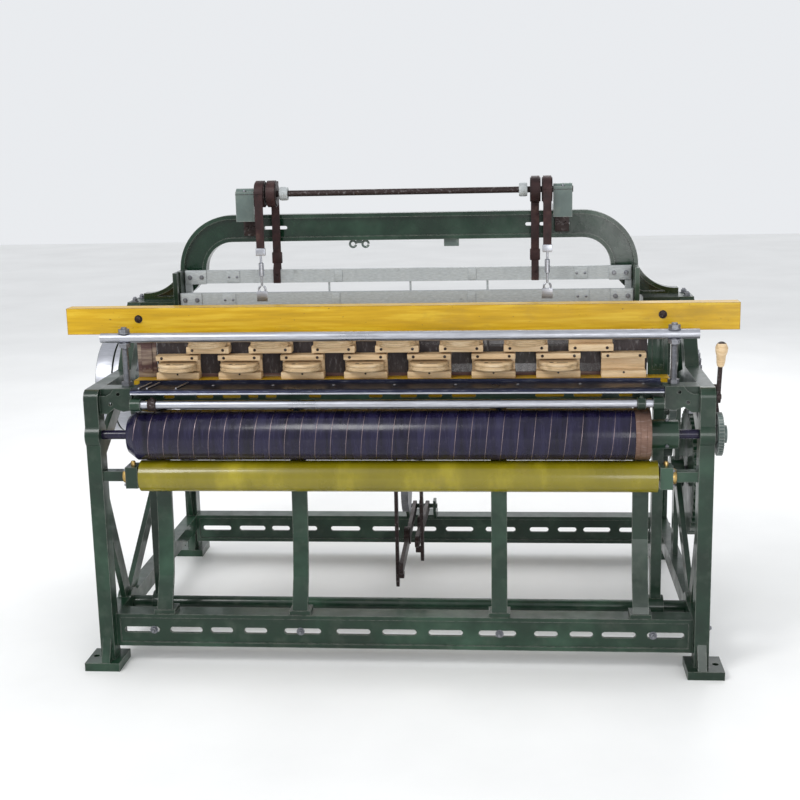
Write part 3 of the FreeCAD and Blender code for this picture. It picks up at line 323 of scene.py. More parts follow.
def metal(name, colour, roughness=0.3, rust=0.15, along=(0.5, 6.0, 6.0), bare=1.0, mark=(0.10, 0.055, 0.03)):
    """Drawn or forged metal: fine drawing lines, smudges and a little rust."""
    f = Finish(name, metallic=bare)
    lines = f.noise(60.0, 5, 0.7, f.stretched(*along))
    body = f.tones(lines, colour, (0.25, 0.72), 0.55, (0.8, (0.9, 0.9, 0.92), 0.25))
    spots = f.steps(f.noise(17.0, 7, 0.7), (0.60, 0.0), (0.75, rust))
    f.set("Base Color", f.mix(spots, body, mark))
    f.set("Roughness", f.steps(f.noise(8.0, 6), (0.3, roughness), (0.7, min(1.0, roughness + 0.28))))
    f.bump(lines, 0.12, 0.0004)
    return f.material


def wood(name, colour, ring=9.0, gloss=0.45):
    """Planed hardwood with long grain, pores and darker ends and handling marks."""
    f = Finish(name, coat=0.12)
    along = f.stretched(1.0, 12.0, 12.0)
    grain = f.noise(ring, 8, 0.62, along)
    fine = f.noise(70.0, 4, 0.7, along)
    body = f.tones(grain, colour, (0.28, 0.60), 0.48, (0.70, (0.95, 0.82, 0.60), 0.45))
    lined = f.mix(f.steps(fine, (0.5, 0.0), (0.75, 0.45)), body, darker(colour, 0.55))
    grime = f.steps(f.mix(f.noise(20.0, 5), f.edges(0.005), (0, 0, 0), "MULTIPLY"), (0.2, 0.0), (0.6, 0.45))
    f.set("Base Color", f.mix(grime, lined, darker(colour, 0.30)))
    f.set("Roughness", f.steps(grain, (0.3, gloss), (0.7, gloss + 0.2)))
    f.bump(fine, 0.25, 0.0005)
    return f.material


def hide(name, colour):
    """Oiled strap leather: creased, cracked and shiny where it bends."""
    f = Finish(name)
    cells = f.node("TexVoronoi", Vector=f.place, Scale=420.0).outputs["Distance"]
    body = f.tones(f.noise(30.0, 6), colour, (0.35, 0.5), 0.55, (0.75, (0.10, 0.055, 0.045), 0.5))
    f.set("Base Color", body)
    f.set("Roughness", f.steps(f.noise(18.0), (0.3, 0.38), (0.7, 0.66)))
    f.bump(cells, 0.35, 0.0005)
    f.bump(f.noise(45.0, 5, place=f.stretched(1, 1, 5)), 0.4, 0.0010)
    return f.material


# ------------------------------------------------------------------ mesh helpers
class Shape:
    """Collects simple forms into one mesh: rounded boxes, bars, rings, turned profiles and sweeps."""

    def __init__(self):
        self.mesh = bmesh.new()

    def box(self, a, b, rounding=0.0, segments=2, turn=None):
        """A box between two corners, with rounded edges."""
        a, b = Vector(a), Vector(b)
        made = bmesh.ops.create_cube(self.mesh, size=1.0)["verts"]
        bmesh.ops.scale(self.mesh, vec=[abs(v) for v in b - a], verts=made)
        if rounding:
            edges = list(dict.fromkeys(e for v in made for e in v.link_edges))
            cut = bmesh.ops.bevel(self.mesh, geom=edges, offset=rounding, segments=segments, affect="EDGES",
                                  profile=0.6)
            rounded = [v for f in cut["faces"] for v in f.verts]
            made = list(dict.fromkeys(rounded + [v for v in made if v.is_valid]))
        place = Matrix.Translation((a + b) / 2)
        bmesh.ops.transform(self.mesh, matrix=place @ (turn or Matrix()), verts=made)
        return self

    def turned(self, centre, axis, profile, sides=32, closed=False):
        """A lathe form: profile is a list of (distance along the axis, radius)."""
        axis = Vector(axis).normalized()
        side = axis.orthogonal().normalized()
        up = axis.cross(side)
        rings = []
        for along, radius in profile:
            base = Vector(centre) + axis * along
            if radius <= 0:
                rings.append([self.mesh.verts.new(base)])
                continue
            rings.append([self.mesh.verts.new(base + (side * math.cos(a) + up * math.sin(a)) * radius)
                          for a in (2 * math.pi * k / sides for k in range(sides))])
        pairs = list(zip(rings, rings[1:])) + ([(rings[-1], rings[0])] if closed else [])
        for first, second in pairs:
            for k in range(sides):
                n = (k + 1) % sides
                corners = [first[k % len(first)], first[n % len(first)],
                           second[n % len(second)], second[k % len(second)]]
                unique = list(dict.fromkeys(corners))
                if len(unique) > 2:
                    self.mesh.faces.new(unique)
        if not closed:
            for ring in (rings[0], rings[-1]):
                if len(ring) > 2:
                    self.mesh.faces.new(ring)
        return self

    def skin(self, rings):
        """Faces between rings of corners that have as many each, closed at both ends."""
        for first, second in zip(rings, rings[1:]):
            for k in range(len(first)):
                n = (k + 1) % len(first)
                self.mesh.faces.new((first[k], first[n], second[n], second[k]))
        self.mesh.faces.new(rings[0])
        self.mesh.faces.new(rings[-1])
        return self

    def sweep(self, points, radius, sides=10, flat=1.0, wide=(0, 0, 1)):
        """A round or flattened bar along points, closed at both ends."""
        points = [Vector(p) for p in points]
        rings = []
        for k, point in enumerate(points):
            ahead = (points[min(k + 1, len(points) - 1)] - points[max(k - 1, 0)]).normalized()
            side = ahead.cross(Vector(wide))
            side = side.normalized() if side.length > 1e-4 else ahead.orthogonal().normalized()
            up = side.cross(ahead)
            rings.append([self.mesh.verts.new(point + (side * math.cos(a) * flat + up * math.sin(a)) * radius)
                          for a in (2 * math.pi * n / sides for n in range(sides))])
        return self.skin(rings)

    def band(self, outline, thickness, across):
        """A flat strip: outline is its middle line, across its width direction and length."""
        across = Vector(across) / 2
        points = [Vector(p) for p in outline]
        rows = []
        for k, point in enumerate(points):
            ahead = (points[min(k + 1, len(points) - 1)] - points[max(k - 1, 0)]).normalized()
            out = ahead.cross(across).normalized() * thickness / 2
            rows.append([self.mesh.verts.new(p) for p in (point - across - out, point + across - out,
                                                          point + across + out, point - across + out)])
        return self.skin(rows)

    def hexagon(self, centre, axis, radius, height):
        """A nut or bolt head with a chamfered face and a washer under it."""
        self.turned(centre, axis, [(0, radius * 1.35), (height * 0.16, radius * 1.35)], 24)
        profile = [(height * 0.16, radius), (height * 0.86, radius), (height, radius * 0.82)]
        return self.turned(centre, axis, profile, 6)

    def slotted_screw(self, centre, axis, radius):
        """A domed wood screw's head."""
        dome = ((0, 1), (0.22, 0.96), (0.40, 0.62), (0.44, 0))
        return self.turned(centre, axis, [(radius * rise, radius * reach) for rise, reach in dome], 14)

    def piece(self, name, body, key, slot, smooth=40.0):
        """Ends the collecting: one piece in a finish, by its key, that rides on a body."""
        bmesh.ops.recalc_face_normals(self.mesh, faces=self.mesh.faces)
        data = bpy.data.meshes.new(name)
        self.mesh.to_mesh(data)
        self.mesh.free()
        data.materials.append(finish(key))
        made = bpy.data.objects.new(name, data)
        bpy.context.scene.collection.objects.link(made)
        for polygon in data.polygons:
            polygon.use_smooth = True
        data.set_sharp_from_angle(angle=math.radians(smooth))
        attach(made, body)
        return made


def meshes(node):
    """The meshes that a CAD node is drawn with."""
    if node not in NODES:
        raise RuntimeError("the frame has no node " + node)
    piece = NODES[node]
    return [holder.data for holder in [piece] + list(piece.children_recursive) if holder.type == "MESH"]


def dress(key, *nodes):
    """Gives CAD nodes a finish, by its key."""
    material = finish(key)
    for name in nodes:
        for data in meshes(name):
            data.materials.clear()
            data.materials.append(material)


def arc_points(centre, radius, start, end, count, plane="YZ"):
    """Points on an arc. Angles are in degrees from the plane's first axis."""
    made = []
    for k in range(count + 1):
        a = math.radians(start + (end - start) * k / count)
        u, v = radius * math.cos(a), radius * math.sin(a)
        offset = {"YZ": (0, u, v), "XZ": (u, 0, v), "XY": (u, v, 0)}[plane]
        made.append(Vector(centre) + Vector(offset))
    return made


FINISHES = {}


def finish(key):
    """One shared material for each finish of the loom."""
    if key in FINISHES:
        return FINISHES[key]
    c = colours()
    makers = {
        "green": lambda: enamel("machine_green", c.enamel[:]),
        "arch_green": lambda: enamel("arch_gloss_green", c.enamel[:], gloss=0.13, dust=0.12, grain=130.0,
                                     peel=0.8),
        "grey_green": lambda: enamel("greyed_green", c.enamel_grey[:], (0.30, 0.31, 0.29), 0.42, 0.5),
        "yellow": lambda: beam_paint("beam_yellow", c.hand_rail[:]),
        "olive": lambda: roller_paint("roller_olive", c.cloth_roller[:]),
        "navy": lambda: lacquer("roller_blue_black", c.lacquer[:]),
        "steel": lambda: metal("drawn_steel", c.steel[:], 0.24, 0.12),
        "forged": lambda: metal("forged_steel", darker(c.steel[:], 0.55), 0.38, 0.35, (2, 2, 2)),
        "seam": lambda: metal("seam_steel", (0.26, 0.20, 0.21), 0.26, 0.45),
        "blued": lambda: metal("blued_steel", c.blued[:], 0.22, 0.20),
        "reed": lambda: metal("reed_wire", (0.060, 0.050, 0.052), 0.5, 0.3, (2, 2, 0.6), 0.6),
        "iron": lambda: metal("brown_iron", c.iron[:], 0.34, 0.30, (2, 2, 2), 0.55),
        "aluminium": lambda: metal("heald_aluminium", c.aluminium[:], 0.46, 0.75, (1.2, 5, 5), 0.30,
                                   (0.16, 0.17, 0.16)),
        "brass": lambda: metal("oiled_brass", (0.50, 0.34, 0.12), 0.32, 0.3, (2, 2, 2)),
        "copper_ring": lambda: metal("brown_ring", (0.17, 0.10, 0.075), 0.36, 0.4, (0.6, 4, 4), 0.6),
        "birch": lambda: wood("block_birch", c.birch[:]),
        "shuttle": lambda: wood("shuttle_boxwood", darker(c.birch[:], 0.86), 7.0, 0.34),
        "mauve": lambda: wood("end_board_brown", (0.115, 0.062, 0.058), 3.0, 0.5),
        "leather": lambda: hide("strap_leather", c.leather[:]),
    }
    FINISHES[key] = makers[key]()
    return FINISHES[key]


def solids(node):
    """The (low, high) corners of each separate solid in a node, from left to right."""
    mesh = bmesh.new()
    for data in meshes(node):
        mesh.from_mesh(data)
    bmesh.ops.remove_doubles(mesh, verts=mesh.verts, dist=1e-5)
    seen = set()
    found = []
    for start in mesh.verts:
        if start in seen:
            continue
        stack, group = [start], []
        seen.add(start)
        while stack:
            vertex = stack.pop()
            group.append(vertex.co.copy())
            for edge in vertex.link_edges:
                other = edge.other_vert(vertex)
                if other not in seen:
                    seen.add(other)
                    stack.append(other)
        found.append((Vector([min(c[k] for c in group) for k in range(3)]),
                      Vector([max(c[k] for c in group) for k in range(3)])))
    mesh.free()
    return sorted(found, key=lambda pair: pair[0].x)


def barrel_span(node, share=0.9, end=False):
    """(axis y, axis z, radius, left end, right end) of a roller's thick part, or of its left shaft end."""
    points = [v.co for data in meshes(node) for v in data.vertices]
    centre = middle(node)
    if end:
        points = [p for p in points if p.x < low(node).x + 0.002]
    reach = [math.hypot(p.y - centre.y, p.z - centre.z) for p in points]
    radius = max(reach)
    thick = [p.x for p, r in zip(points, reach) if r > share * radius]
    return centre.y, centre.z, radius, min(thick), max(thick)


class LOOM_OT_castings(bpy.types.Operator):
    """Enamels the side frames, rails, pedestals and brackets, and bolts them together"""
    bl_idname = "loom.castings"
    bl_label = "Castings and bolts"

    def execute(self, context):
        dress("green", "left_side_frame", "right_side_frame", "front_bottom_rail", "rear_bottom_rail",
              "front_top_rail", "rear_top_rail", "pedestals", "corner_brackets", "cloth_roller_brackets",
              "guide_bar_brackets", "heald_guides", "treadle_bracket")
        dress("brass", "shaft_bushes")
        heads = Shape()
        for a, b in solids("frame_bolts"):
            size, centre = b - a, (a + b) / 2
            thin = min(range(3), key=lambda k: size[k])
            facing = [0, 0, 0]
            facing[thin] = (1 if centre.x > 0 else -1) if thin == 0 else (-1 if thin == 1 else 1)
            base = centre - Vector(facing) * size[thin] / 2
            heads.hexagon(base, facing, 0.0085, 0.010)
            heads.turned(base, facing, [(0.010, 0.0050), (0.0125, 0.0050), (0.0140, 0.0038)], 12)
        bolts = heads.piece("rail_bolt_heads", "loom_frame", "forged", "dark_steel")
        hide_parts("frame_bolts")
        return {"FINISHED"}


class LOOM_OT_arch(bpy.types.Operator):
    """Finishes the arch and adds its clamps and the small twin-ring hanger"""
    bl_idname = "loom.arch"
    bl_label = "Arch"

    def execute(self, context):
        dress("arch_green", "arch")
        face, top = low("arch").y, high("arch").z
        clamps = Shape()
        for a, b in solids("top_bearings"):
            x = (a.x + b.x) / 2
            clamps.box((x - 0.021, face - 0.013, top - 0.062), (x + 0.021, face - 0.0005, top - 0.013), 0.003)
            for shift in (-0.011, 0.011):
                clamps.hexagon((x + shift, face - 0.013, top - 0.038), FRONT, 0.006, 0.007)
        clamps.piece("arch_clamps", "loom_frame", "iron", "brown_iron")
        under = top - 0.0805
        hanger = Shape()
        for x in HANGER_RINGS_X:
            ring = arc_points((x, face + 0.02, under - 0.012), 0.0095, 0, 345, 22, "XZ")
            hanger.sweep(ring, 0.0034, 8, wide=(0, 1, 0))
        hanger.box((-0.150, face + 0.016, under - 0.010), (-0.132, face + 0.024, under + 0.001), 0.001)
        hanger.box((0.115, face + 0.014, under - 0.022), (0.160, face + 0.020, under + 0.001), 0.0015)
        hanger.piece("ring_hanger", "loom_frame", "grey_green", "grey_green")
        return {"FINISHED"}


class LOOM_OT_strap_shaft(bpy.types.Operator):
    """Finishes the top bearings, the strap shaft and its drums, and hangs the leather straps"""
    bl_idname = "loom.strap_shaft"
    bl_label = "Strap shaft"

    def execute(self, context):
        dress("grey_green", "top_bearings")
        dress("iron", "top_shaft", "strap_drums")
        dress("leather", "strap_wraps")
        centre = middle("top_shaft")
        bolts = Shape()
        for a, b in solids("top_bearings"):
            for y in (centre.y - 0.0192, centre.y + 0.0192):
                bolts.hexagon(((a.x + b.x) / 2, y, centre.z + 0.008), UP, 0.0036, 0.006)
        bolts.piece("bearing_cap_bolts", "loom_frame", "forged", "dark_steel")
        splits = Shape()
        for a, b in solids("top_bearings"):
            for near, far in ((-0.0236, -0.0105), (0.0105, 0.0236)):
                for x in (a.x, b.x):
                    splits.box((x - 0.0006, centre.y + near, centre.z - 0.0007),
                               (x + 0.0006, centre.y + far, centre.z + 0.0007))
            for y in (centre.y - 0.0230, centre.y + 0.0230):
                splits.box((a.x, y - 0.0006, centre.z - 0.0007), (b.x, y + 0.0006, centre.z + 0.0007))
        splits.piece("bearing_split_lines", "loom_frame", "iron", "dark_steel")
        collars = Shape()
        for side in (-1, 1):
            inner = side * SHAFT_COLLAR_X
            collars.turned((inner, centre.y, centre.z), (side, 0, 0),
                           [(-0.001, 0.0185), (0.004, 0.0200), (0.018, 0.0200), (0.023, 0.0185)], 28)
            collars.turned((inner + side * 0.011, centre.y - 0.0195, centre.z), FRONT,
                           [(0, 0.0035), (0.004, 0.0035)], 8)
        collars.piece("shaft_collars", "top_roller", "aluminium", "aluminium")
        self.front_straps(centre)
        self.rear_straps(centre)
        return {"FINISHED"}

    def front_straps(self, centre):
        bar_top = high("front_heald_frame").z
        strip = bar_top + 0.115
        tails, hooks = Shape(), Shape()
        for a, b in solids("front_straps"):
            x, y, width = (a.x + b.x) / 2, (a.y + b.y) / 2, b.x - a.x
            steps = 14
            line = [(x, y + 0.0010 * math.sin(9 * k / steps), strip + (centre.z - strip) * k / steps)
                    for k in range(steps + 1)]
            tails.band(line, b.y - a.y, (width, 0, 0))
            half = width / 2 + 0.002
            hooks.box((x - half, y - 0.006, strip - 0.006), (x + half, y + 0.006, strip + 0.016), 0.002)
            hooks.turned((x, y, strip - 0.002), DOWN, [(0, 0.0035), (0.024, 0.0035)], 12)
            hooks.turned((x, y, strip - 0.026), DOWN,
                         [(0, 0.0045), (0.002, 0.0075), (0.040, 0.0075), (0.042, 0.0045)], 14)
            hooks.turned((x, y, strip - 0.066), DOWN, [(0, 0.0035), (0.030, 0.0035)], 12)
            loop = arc_points((x, y, bar_top + 0.010), 0.010, 60, -240, 16, "XZ")
            hooks.sweep(loop, 0.0032, 8, wide=(0, 1, 0))
            hooks.box((x - 0.016, y - 0.004, bar_top - 0.026), (x + 0.016, y + 0.004, bar_top + 0.004),
                      0.0015)
        tails = tails.piece("front_strap_tails", "loom_frame", "leather", "strap_leather")
        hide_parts("front_straps")
        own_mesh(tails)
        hooks.piece("front_strap_hooks", "front_heald", "steel", "bright_steel")

    def rear_straps(self, centre):
        bar, back = low("rear_heald_frame"), high("rear_heald_frame")
        bar_top = back.z
        tails, loops = Shape(), Shape()
        foot, head = bar_top + 0.022, high("rear_straps").z
        for a, b in solids("rear_straps"):
            x, y, width = (a.x + b.x) / 2, (a.y + b.y) / 2, b.x - a.x
            steps = 14
            line = [(x, y - 0.0008 * math.sin(8 * k / steps), foot + (head - foot) * k / steps)
                    for k in range(steps + 1)]
            tails.band(line, b.y - a.y, (width, 0, 0))
            half = width / 2 + 0.003
            loops.box((x - half, y - 0.007, foot - 0.004), (x + half, y + 0.007, foot + 0.030), 0.003)
            for face in (bar.y - 0.0012, back.y + 0.0012):
                reach = 0.040 if face < y else 0.030
                flap = [(x, face, bar_top - reach), (x, face, bar_top + 0.002), (x, y, foot + 0.004)]
                loops.band(flap, 0.0024, (width * 0.9, 0, 0))
            for drop in (0.012, 0.030):
                loops.turned((x, bar.y - 0.0024, bar_top - drop), FRONT,
                             [(0, 0.0045), (0.0018, 0.0045), (0.0026, 0.003)], 12)
        tails = tails.piece("rear_strap_tails", "rear_heald", "leather", "strap_leather")
        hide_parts("rear_straps")
        loops.piece("rear_strap_loops", "rear_heald", "leather", "strap_leather")


class LOOM_OT_healds(bpy.types.Operator):
    """Finishes the heald frames and their hanging hooks, and adds their end blocks, joint plates and screws
    """
    bl_idname = "loom.healds"
    bl_label = "Heald frames"

    def execute(self, context):
        dress("aluminium", "front_heald_frame", "rear_heald_frame")
        dress("iron", "front_frame_hook", "rear_frame_hook", "front_treadle", "rear_treadle")
        for name in ("front", "rear"):
            a, b = low(name + "_heald_frame"), high(name + "_heald_frame")
            body = name + "_heald"
            blocks, screws, plates = Shape(), Shape(), Shape()
            for side in (-1, 1):
                x = side * (b.x - 0.034)
                blocks.box((x - 0.032, a.y - 0.004, b.z - 0.041), (x + 0.032, a.y - 0.0002, b.z + 0.001),
                           0.0015)
                for dx in (-0.018, 0.018):
                    screws.hexagon((x + dx, a.y - 0.004, b.z - 0.020), FRONT, 0.0052, 0.006)
                joint, stay = side * HEALD_JOINT_X, side * HEALD_STAY_X
                for at, half, drop in ((joint, 0.020, 0.002), (stay, 0.012, 0.003)):
                    plates.box((at - half, a.y - 0.0025, b.z - 0.039 + drop),
                               (at + half, a.y - 0.0002, b.z - drop), 0.001)
                for dx in (-0.012, 0.012):
                    screws.slotted_screw((joint + dx, a.y - 0.0025, b.z - 0.020), FRONT, 0.0040)
            blocks.piece(name + "_heald_end_blocks", body, "aluminium", "aluminium")
            plates.piece(name + "_heald_joint_plates", body, "aluminium", "aluminium")
            screws.piece(name + "_heald_screws", body, "forged", "dark_steel")
        return {"FINISHED"}


class LOOM_OT_sley(bpy.types.Operator):
    """Builds the yellow cap, its board, the wooden shuttle blocks and shuttles, and finishes the swords"""
    bl_idname = "loom.sley"
    bl_label = "Sley and shuttles"

    def execute(self, context):
        dress("green", "sley_swords")
        dress("green", "rocking_shaft")
        dress("yellow", "sley_board", "sley_cap")
        self.bolts()
        self.reed_wires()
        self.end_boards()
        lower_body, upper_body = BODY_OF["lower_shuttles"], BODY_OF["upper_shuttles"]
        self.blocks("lower_shuttle_blocks", screws_low=False)
        self.blocks("upper_shuttle_blocks", screws_low=True)
        self.shuttles("lower_shuttles", lower_body)
        self.shuttles("upper_shuttles", upper_body)
        return {"FINISHED"}

    def bolts(self):
        heads = Shape()
        for a, b in solids("sley_bolts"):
            centre = (a + b) / 2
            heads.hexagon((centre.x, b.y, centre.z), FRONT, (b.x - a.x) * 0.30, b.y - a.y)
        heads = heads.piece("sley_bolt_heads", "sley", "iron", "dark_steel")
        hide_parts("sley_bolts")

    def reed_wires(self):
        a, b = low("reed"), high("reed")
        pitch, wire, rib = 0.0032, 0.0028, 0.010
        dents, ribs = Shape(), Shape()
        count = int((b.x - a.x - wire) / pitch)
        for k in range(count + 1):
            x = a.x + wire / 2 + (b.x - a.x - wire) * k / count
            line = [(x, (a.y + b.y) / 2, z) for z in (a.z + 0.004, b.z - 0.004)]
            dents.band(line, wire, (0, b.y - a.y - 0.002, 0))
        for z in (a.z, b.z - rib):
            ribs.box((a.x, a.y, z), (b.x, b.y, z + rib), 0.0012)
        dents = dents.piece("reed_dents", "sley", "reed", "dark_steel", smooth=20)
        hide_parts("reed")
        ribs.piece("reed_ribs", "sley", "mauve", "block_wood")
        strap = Shape()
        cap = low("sley_cap")
        left, right = CAP_STRAP_X
        strap.box((left, cap.y + 0.001, cap.z - 0.006), (right, cap.y + 0.048, cap.z - 0.0003), 0.0012)
        for x in (left + 0.015, right - 0.015):
            strap.slotted_screw((x, cap.y + 0.012, cap.z - 0.006), DOWN, 0.0045)
        strap.piece("cap_end_strap", "sley", "blued", "dark_steel")

    def end_boards(self):
        for (a, b), name, key, slot in zip(solids("sley_end_plates"), ("left_end_board", "right_end_housing"),
                                           ("mauve", "green"), ("block_wood", "frame_green")):
            board = Shape()
            board.box(a, b, 0.002)
            board.box((a.x + 0.012, a.y - 0.004, a.z + 0.014), (b.x - 0.012, a.y + 0.001, b.z - 0.014), 0.002)
            for x in (a.x + 0.020, b.x - 0.020):
                for z in (a.z + 0.026, b.z - 0.026):
                    board.slotted_screw((x, a.y - 0.004, z), FRONT, 0.0042)
            made = board.piece(name, "sley", key, slot)
            if key == "mauve":
                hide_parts("sley_end_plates")

    def blocks(self, node, screws_low):
        wooden, screws, hole_shades = Shape(), Shape(), Shape()
        plate, back, ease = 0.019, 0.008, sizes().edge_round
        for a, b in solids(node):
            upper = b.z - (0.015 if b.z - a.z < 0.08 else plate)
            wooden.box(a, (b.x, b.y, a.z + plate), ease)
            wooden.box((a.x, a.y, upper), b, ease)
            wooden.box((a.x + 0.001, b.y - back, a.z + plate - 0.001), (b.x - 0.001, b.y, upper + 0.001),
                       0.0005)
            z = a.z + plate / 2 if screws_low else (upper + b.z) / 2
            for x in (a.x + 0.017, b.x - 0.017):
                screws.slotted_screw((x, a.y, z), FRONT, sizes().screw_radius)
            # Each peg hole is a thin dark iron disc laid on the block's face: painted shade standing in for
            # the hole's depth.
            if not screws_low:
                hole_shades.turned(((a.x + b.x) / 2, a.y + 0.0002, a.z + plate - 0.0045), FRONT,
                             [(0, 0.0032), (0.0006, 0.0028)], 12)
        made = wooden.piece(node + "_wood", "sley", "birch", "block_wood")
        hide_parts(node)
        screws.piece(node + "_screws", "sley", "iron", "dark_steel")
        # The peg holes' dark discs of painted shade.
        if not screws_low:
            hole_shades.piece(node + "_peg_holes", "sley", "iron", "dark_steel")

    def shuttles(self, node, body):
        wooden, eyes = Shape(), Shape()
        for a, b in solids(node):
            centre = Vector(((a.x + b.x) / 2, a.y + (b.x - a.x) / 2, (a.z + b.z) / 2))
            half, radius = (b.z - a.z) / 2, (b.x - a.x) / 2
            reach = b.y - centre.y
            start = math.degrees(math.asin(reach / radius))
            rounding, groove = radius - 0.003, radius - 0.0022
            levels = [(-half, rounding), (-half + 0.003, radius), (-0.0035, radius), (-0.0020, groove),
                      (0.0020, groove), (0.0035, radius), (half - 0.003, radius), (half, rounding)]
            rings = []
            for dz, r in levels:
                line = arc_points(centre + Vector((0, 0, dz)), r, 180 - start, 360 + start, 40, "XY")
                rings.append([wooden.mesh.verts.new(p) for p in line])
            wooden.skin(rings)
            eyes.turned(centre + Vector((-radius * 0.35, -radius * 0.55, half)), UP,
                        [(-0.001, 0.0058), (0.0004, 0.0058), (0.0004, 0.0040)], 20)
            eyes.box(centre + Vector((-radius * 0.10, -radius * 0.62, half - 0.001)),
                     centre + Vector((radius * 0.45, -radius * 0.56, half + 0.0006)), 0.0003)
        made = wooden.piece(node + "_boxwood", body, "shuttle", "shuttle_wood", smooth=30)
        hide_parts(node)
        eyes.piece(node + "_eyes", body, "iron", "brown_iron")


class LOOM_OT_guard(bpy.types.Operator):
    """Finishes the guard tube and cuts the threads of its posts"""
    bl_idname = "loom.guard"
    bl_label = "Guard tube"

    def execute(self, context):
        dress("steel", "guard_tube")
        dress("forged", "guard_posts")
        tube_low, tube_high = low("guard_tube"), high("guard_tube")
        threads, ends, washers = Shape(), Shape(), Shape()
        pitch = sizes().thread_pitch
        for a, b in solids("guard_posts"):
            centre = (a + b) / 2
            for start, stop in ((a.z + 0.013, tube_low.z - 0.014), (tube_high.z + 0.013, b.z - 0.001)):
                turns = int((stop - start) / pitch)
                profile = [(start, 0.0075)]
                for k in range(turns):
                    z = start + k * pitch
                    profile += [(z + pitch * 0.15, 0.0081), (z + pitch * 0.5, 0.0093),
                                (z + pitch * 0.85, 0.0081)]
                profile.append((stop, 0.0075))
                threads.turned((centre.x, centre.y, 0), UP, profile, 20)
            for z in (tube_low.z - 0.0012, tube_high.z + 0.0001):
                washers.turned((centre.x, centre.y, z), UP, [(0, 0.0175), (0.0010, 0.0175)], 28)
        for side in (-1, 1):
            ends.turned((side * tube_high.x, (tube_low.y + tube_high.y) / 2, (tube_low.z + tube_high.z) / 2),
                        (-side, 0, 0), [(0.0006, 0.0100), (0.012, 0.0100), (0.014, 0.0060)], 24)
        threads.piece("guard_post_threads", "loom_frame", "forged", "bright_steel", smooth=20)
        washers.piece("guard_post_washers", "loom_frame", "steel", "bright_steel")
        ends.piece("guard_tube_plugs", "loom_frame", "iron", "dark_steel")
        return {"FINISHED"}


class LOOM_OT_breast(bpy.types.Operator):
    """Finishes the breast plate, its wires and the guide bar, with their screws and collars"""
    bl_idname = "loom.breast"
    bl_label = "Breast plate and guide bar"

    def execute(self, context):
        dress("blued", "breast_plate")
        dress("steel", "guide_bar", "wire_guides")
        a, b = low("breast_plate"), high("breast_plate")
        face = b.z - 0.0080
        screws = Shape()
        count = 9
        for k in range(count):
            x = a.x + 0.05 + (b.x - a.x - 0.10) * k / (count - 1)
            screws.slotted_screw((x, b.y - 0.040, face), UP, 0.0045)
        screws.piece("breast_plate_screws", "loom_frame", "forged", "dark_steel")
        # A bright steel bead along the plate's front lower edge: a painted highlight line standing in for the
        # light that this edge catches.
        highlight_bead = Shape()
        line = [(x, a.y + 0.0016, a.z + 0.0016) for x in (a.x + 0.001, b.x - 0.001)]
        highlight_bead.sweep(line, 0.0026, 12)
        highlight_bead.piece("breast_plate_lip", "loom_frame", "steel", "bright_steel")
        bar, rod_low, rod_high = middle("guide_bar"), low("guide_bar"), high("guide_bar")
        radius = (rod_high.z - rod_low.z) / 2
        for side, word, key, slot in ((-1, "left", "iron", "dark_steel"),
                                      (1, "right", "green", "frame_green")):
            x = side * GUIDE_COLLAR_X
            collar = Shape()
            wall = [(-0.012, radius + 0.0002), (-0.010, radius + 0.005), (0.010, radius + 0.005),
                    (0.012, radius + 0.0002)]
            collar.turned((x, bar.y, bar.z), (side, 0, 0), wall, 28)
            collar.hexagon((x, bar.y, bar.z + radius + 0.004), UP, 0.0048, 0.006)
            collar.piece("guide_bar_collar_" + word, "loom_frame", key, slot)
        caps = Shape()
        for side in (-1, 1):
            caps.turned((side * (rod_high.x - 0.0004), bar.y, bar.z), (side, 0, 0),
                        [(0, radius - 0.0006), (0.0003, radius - 0.0020)], 24)
        caps.piece("guide_bar_ends", "loom_frame", "forged", "bright_steel")
        return {"FINISHED"}


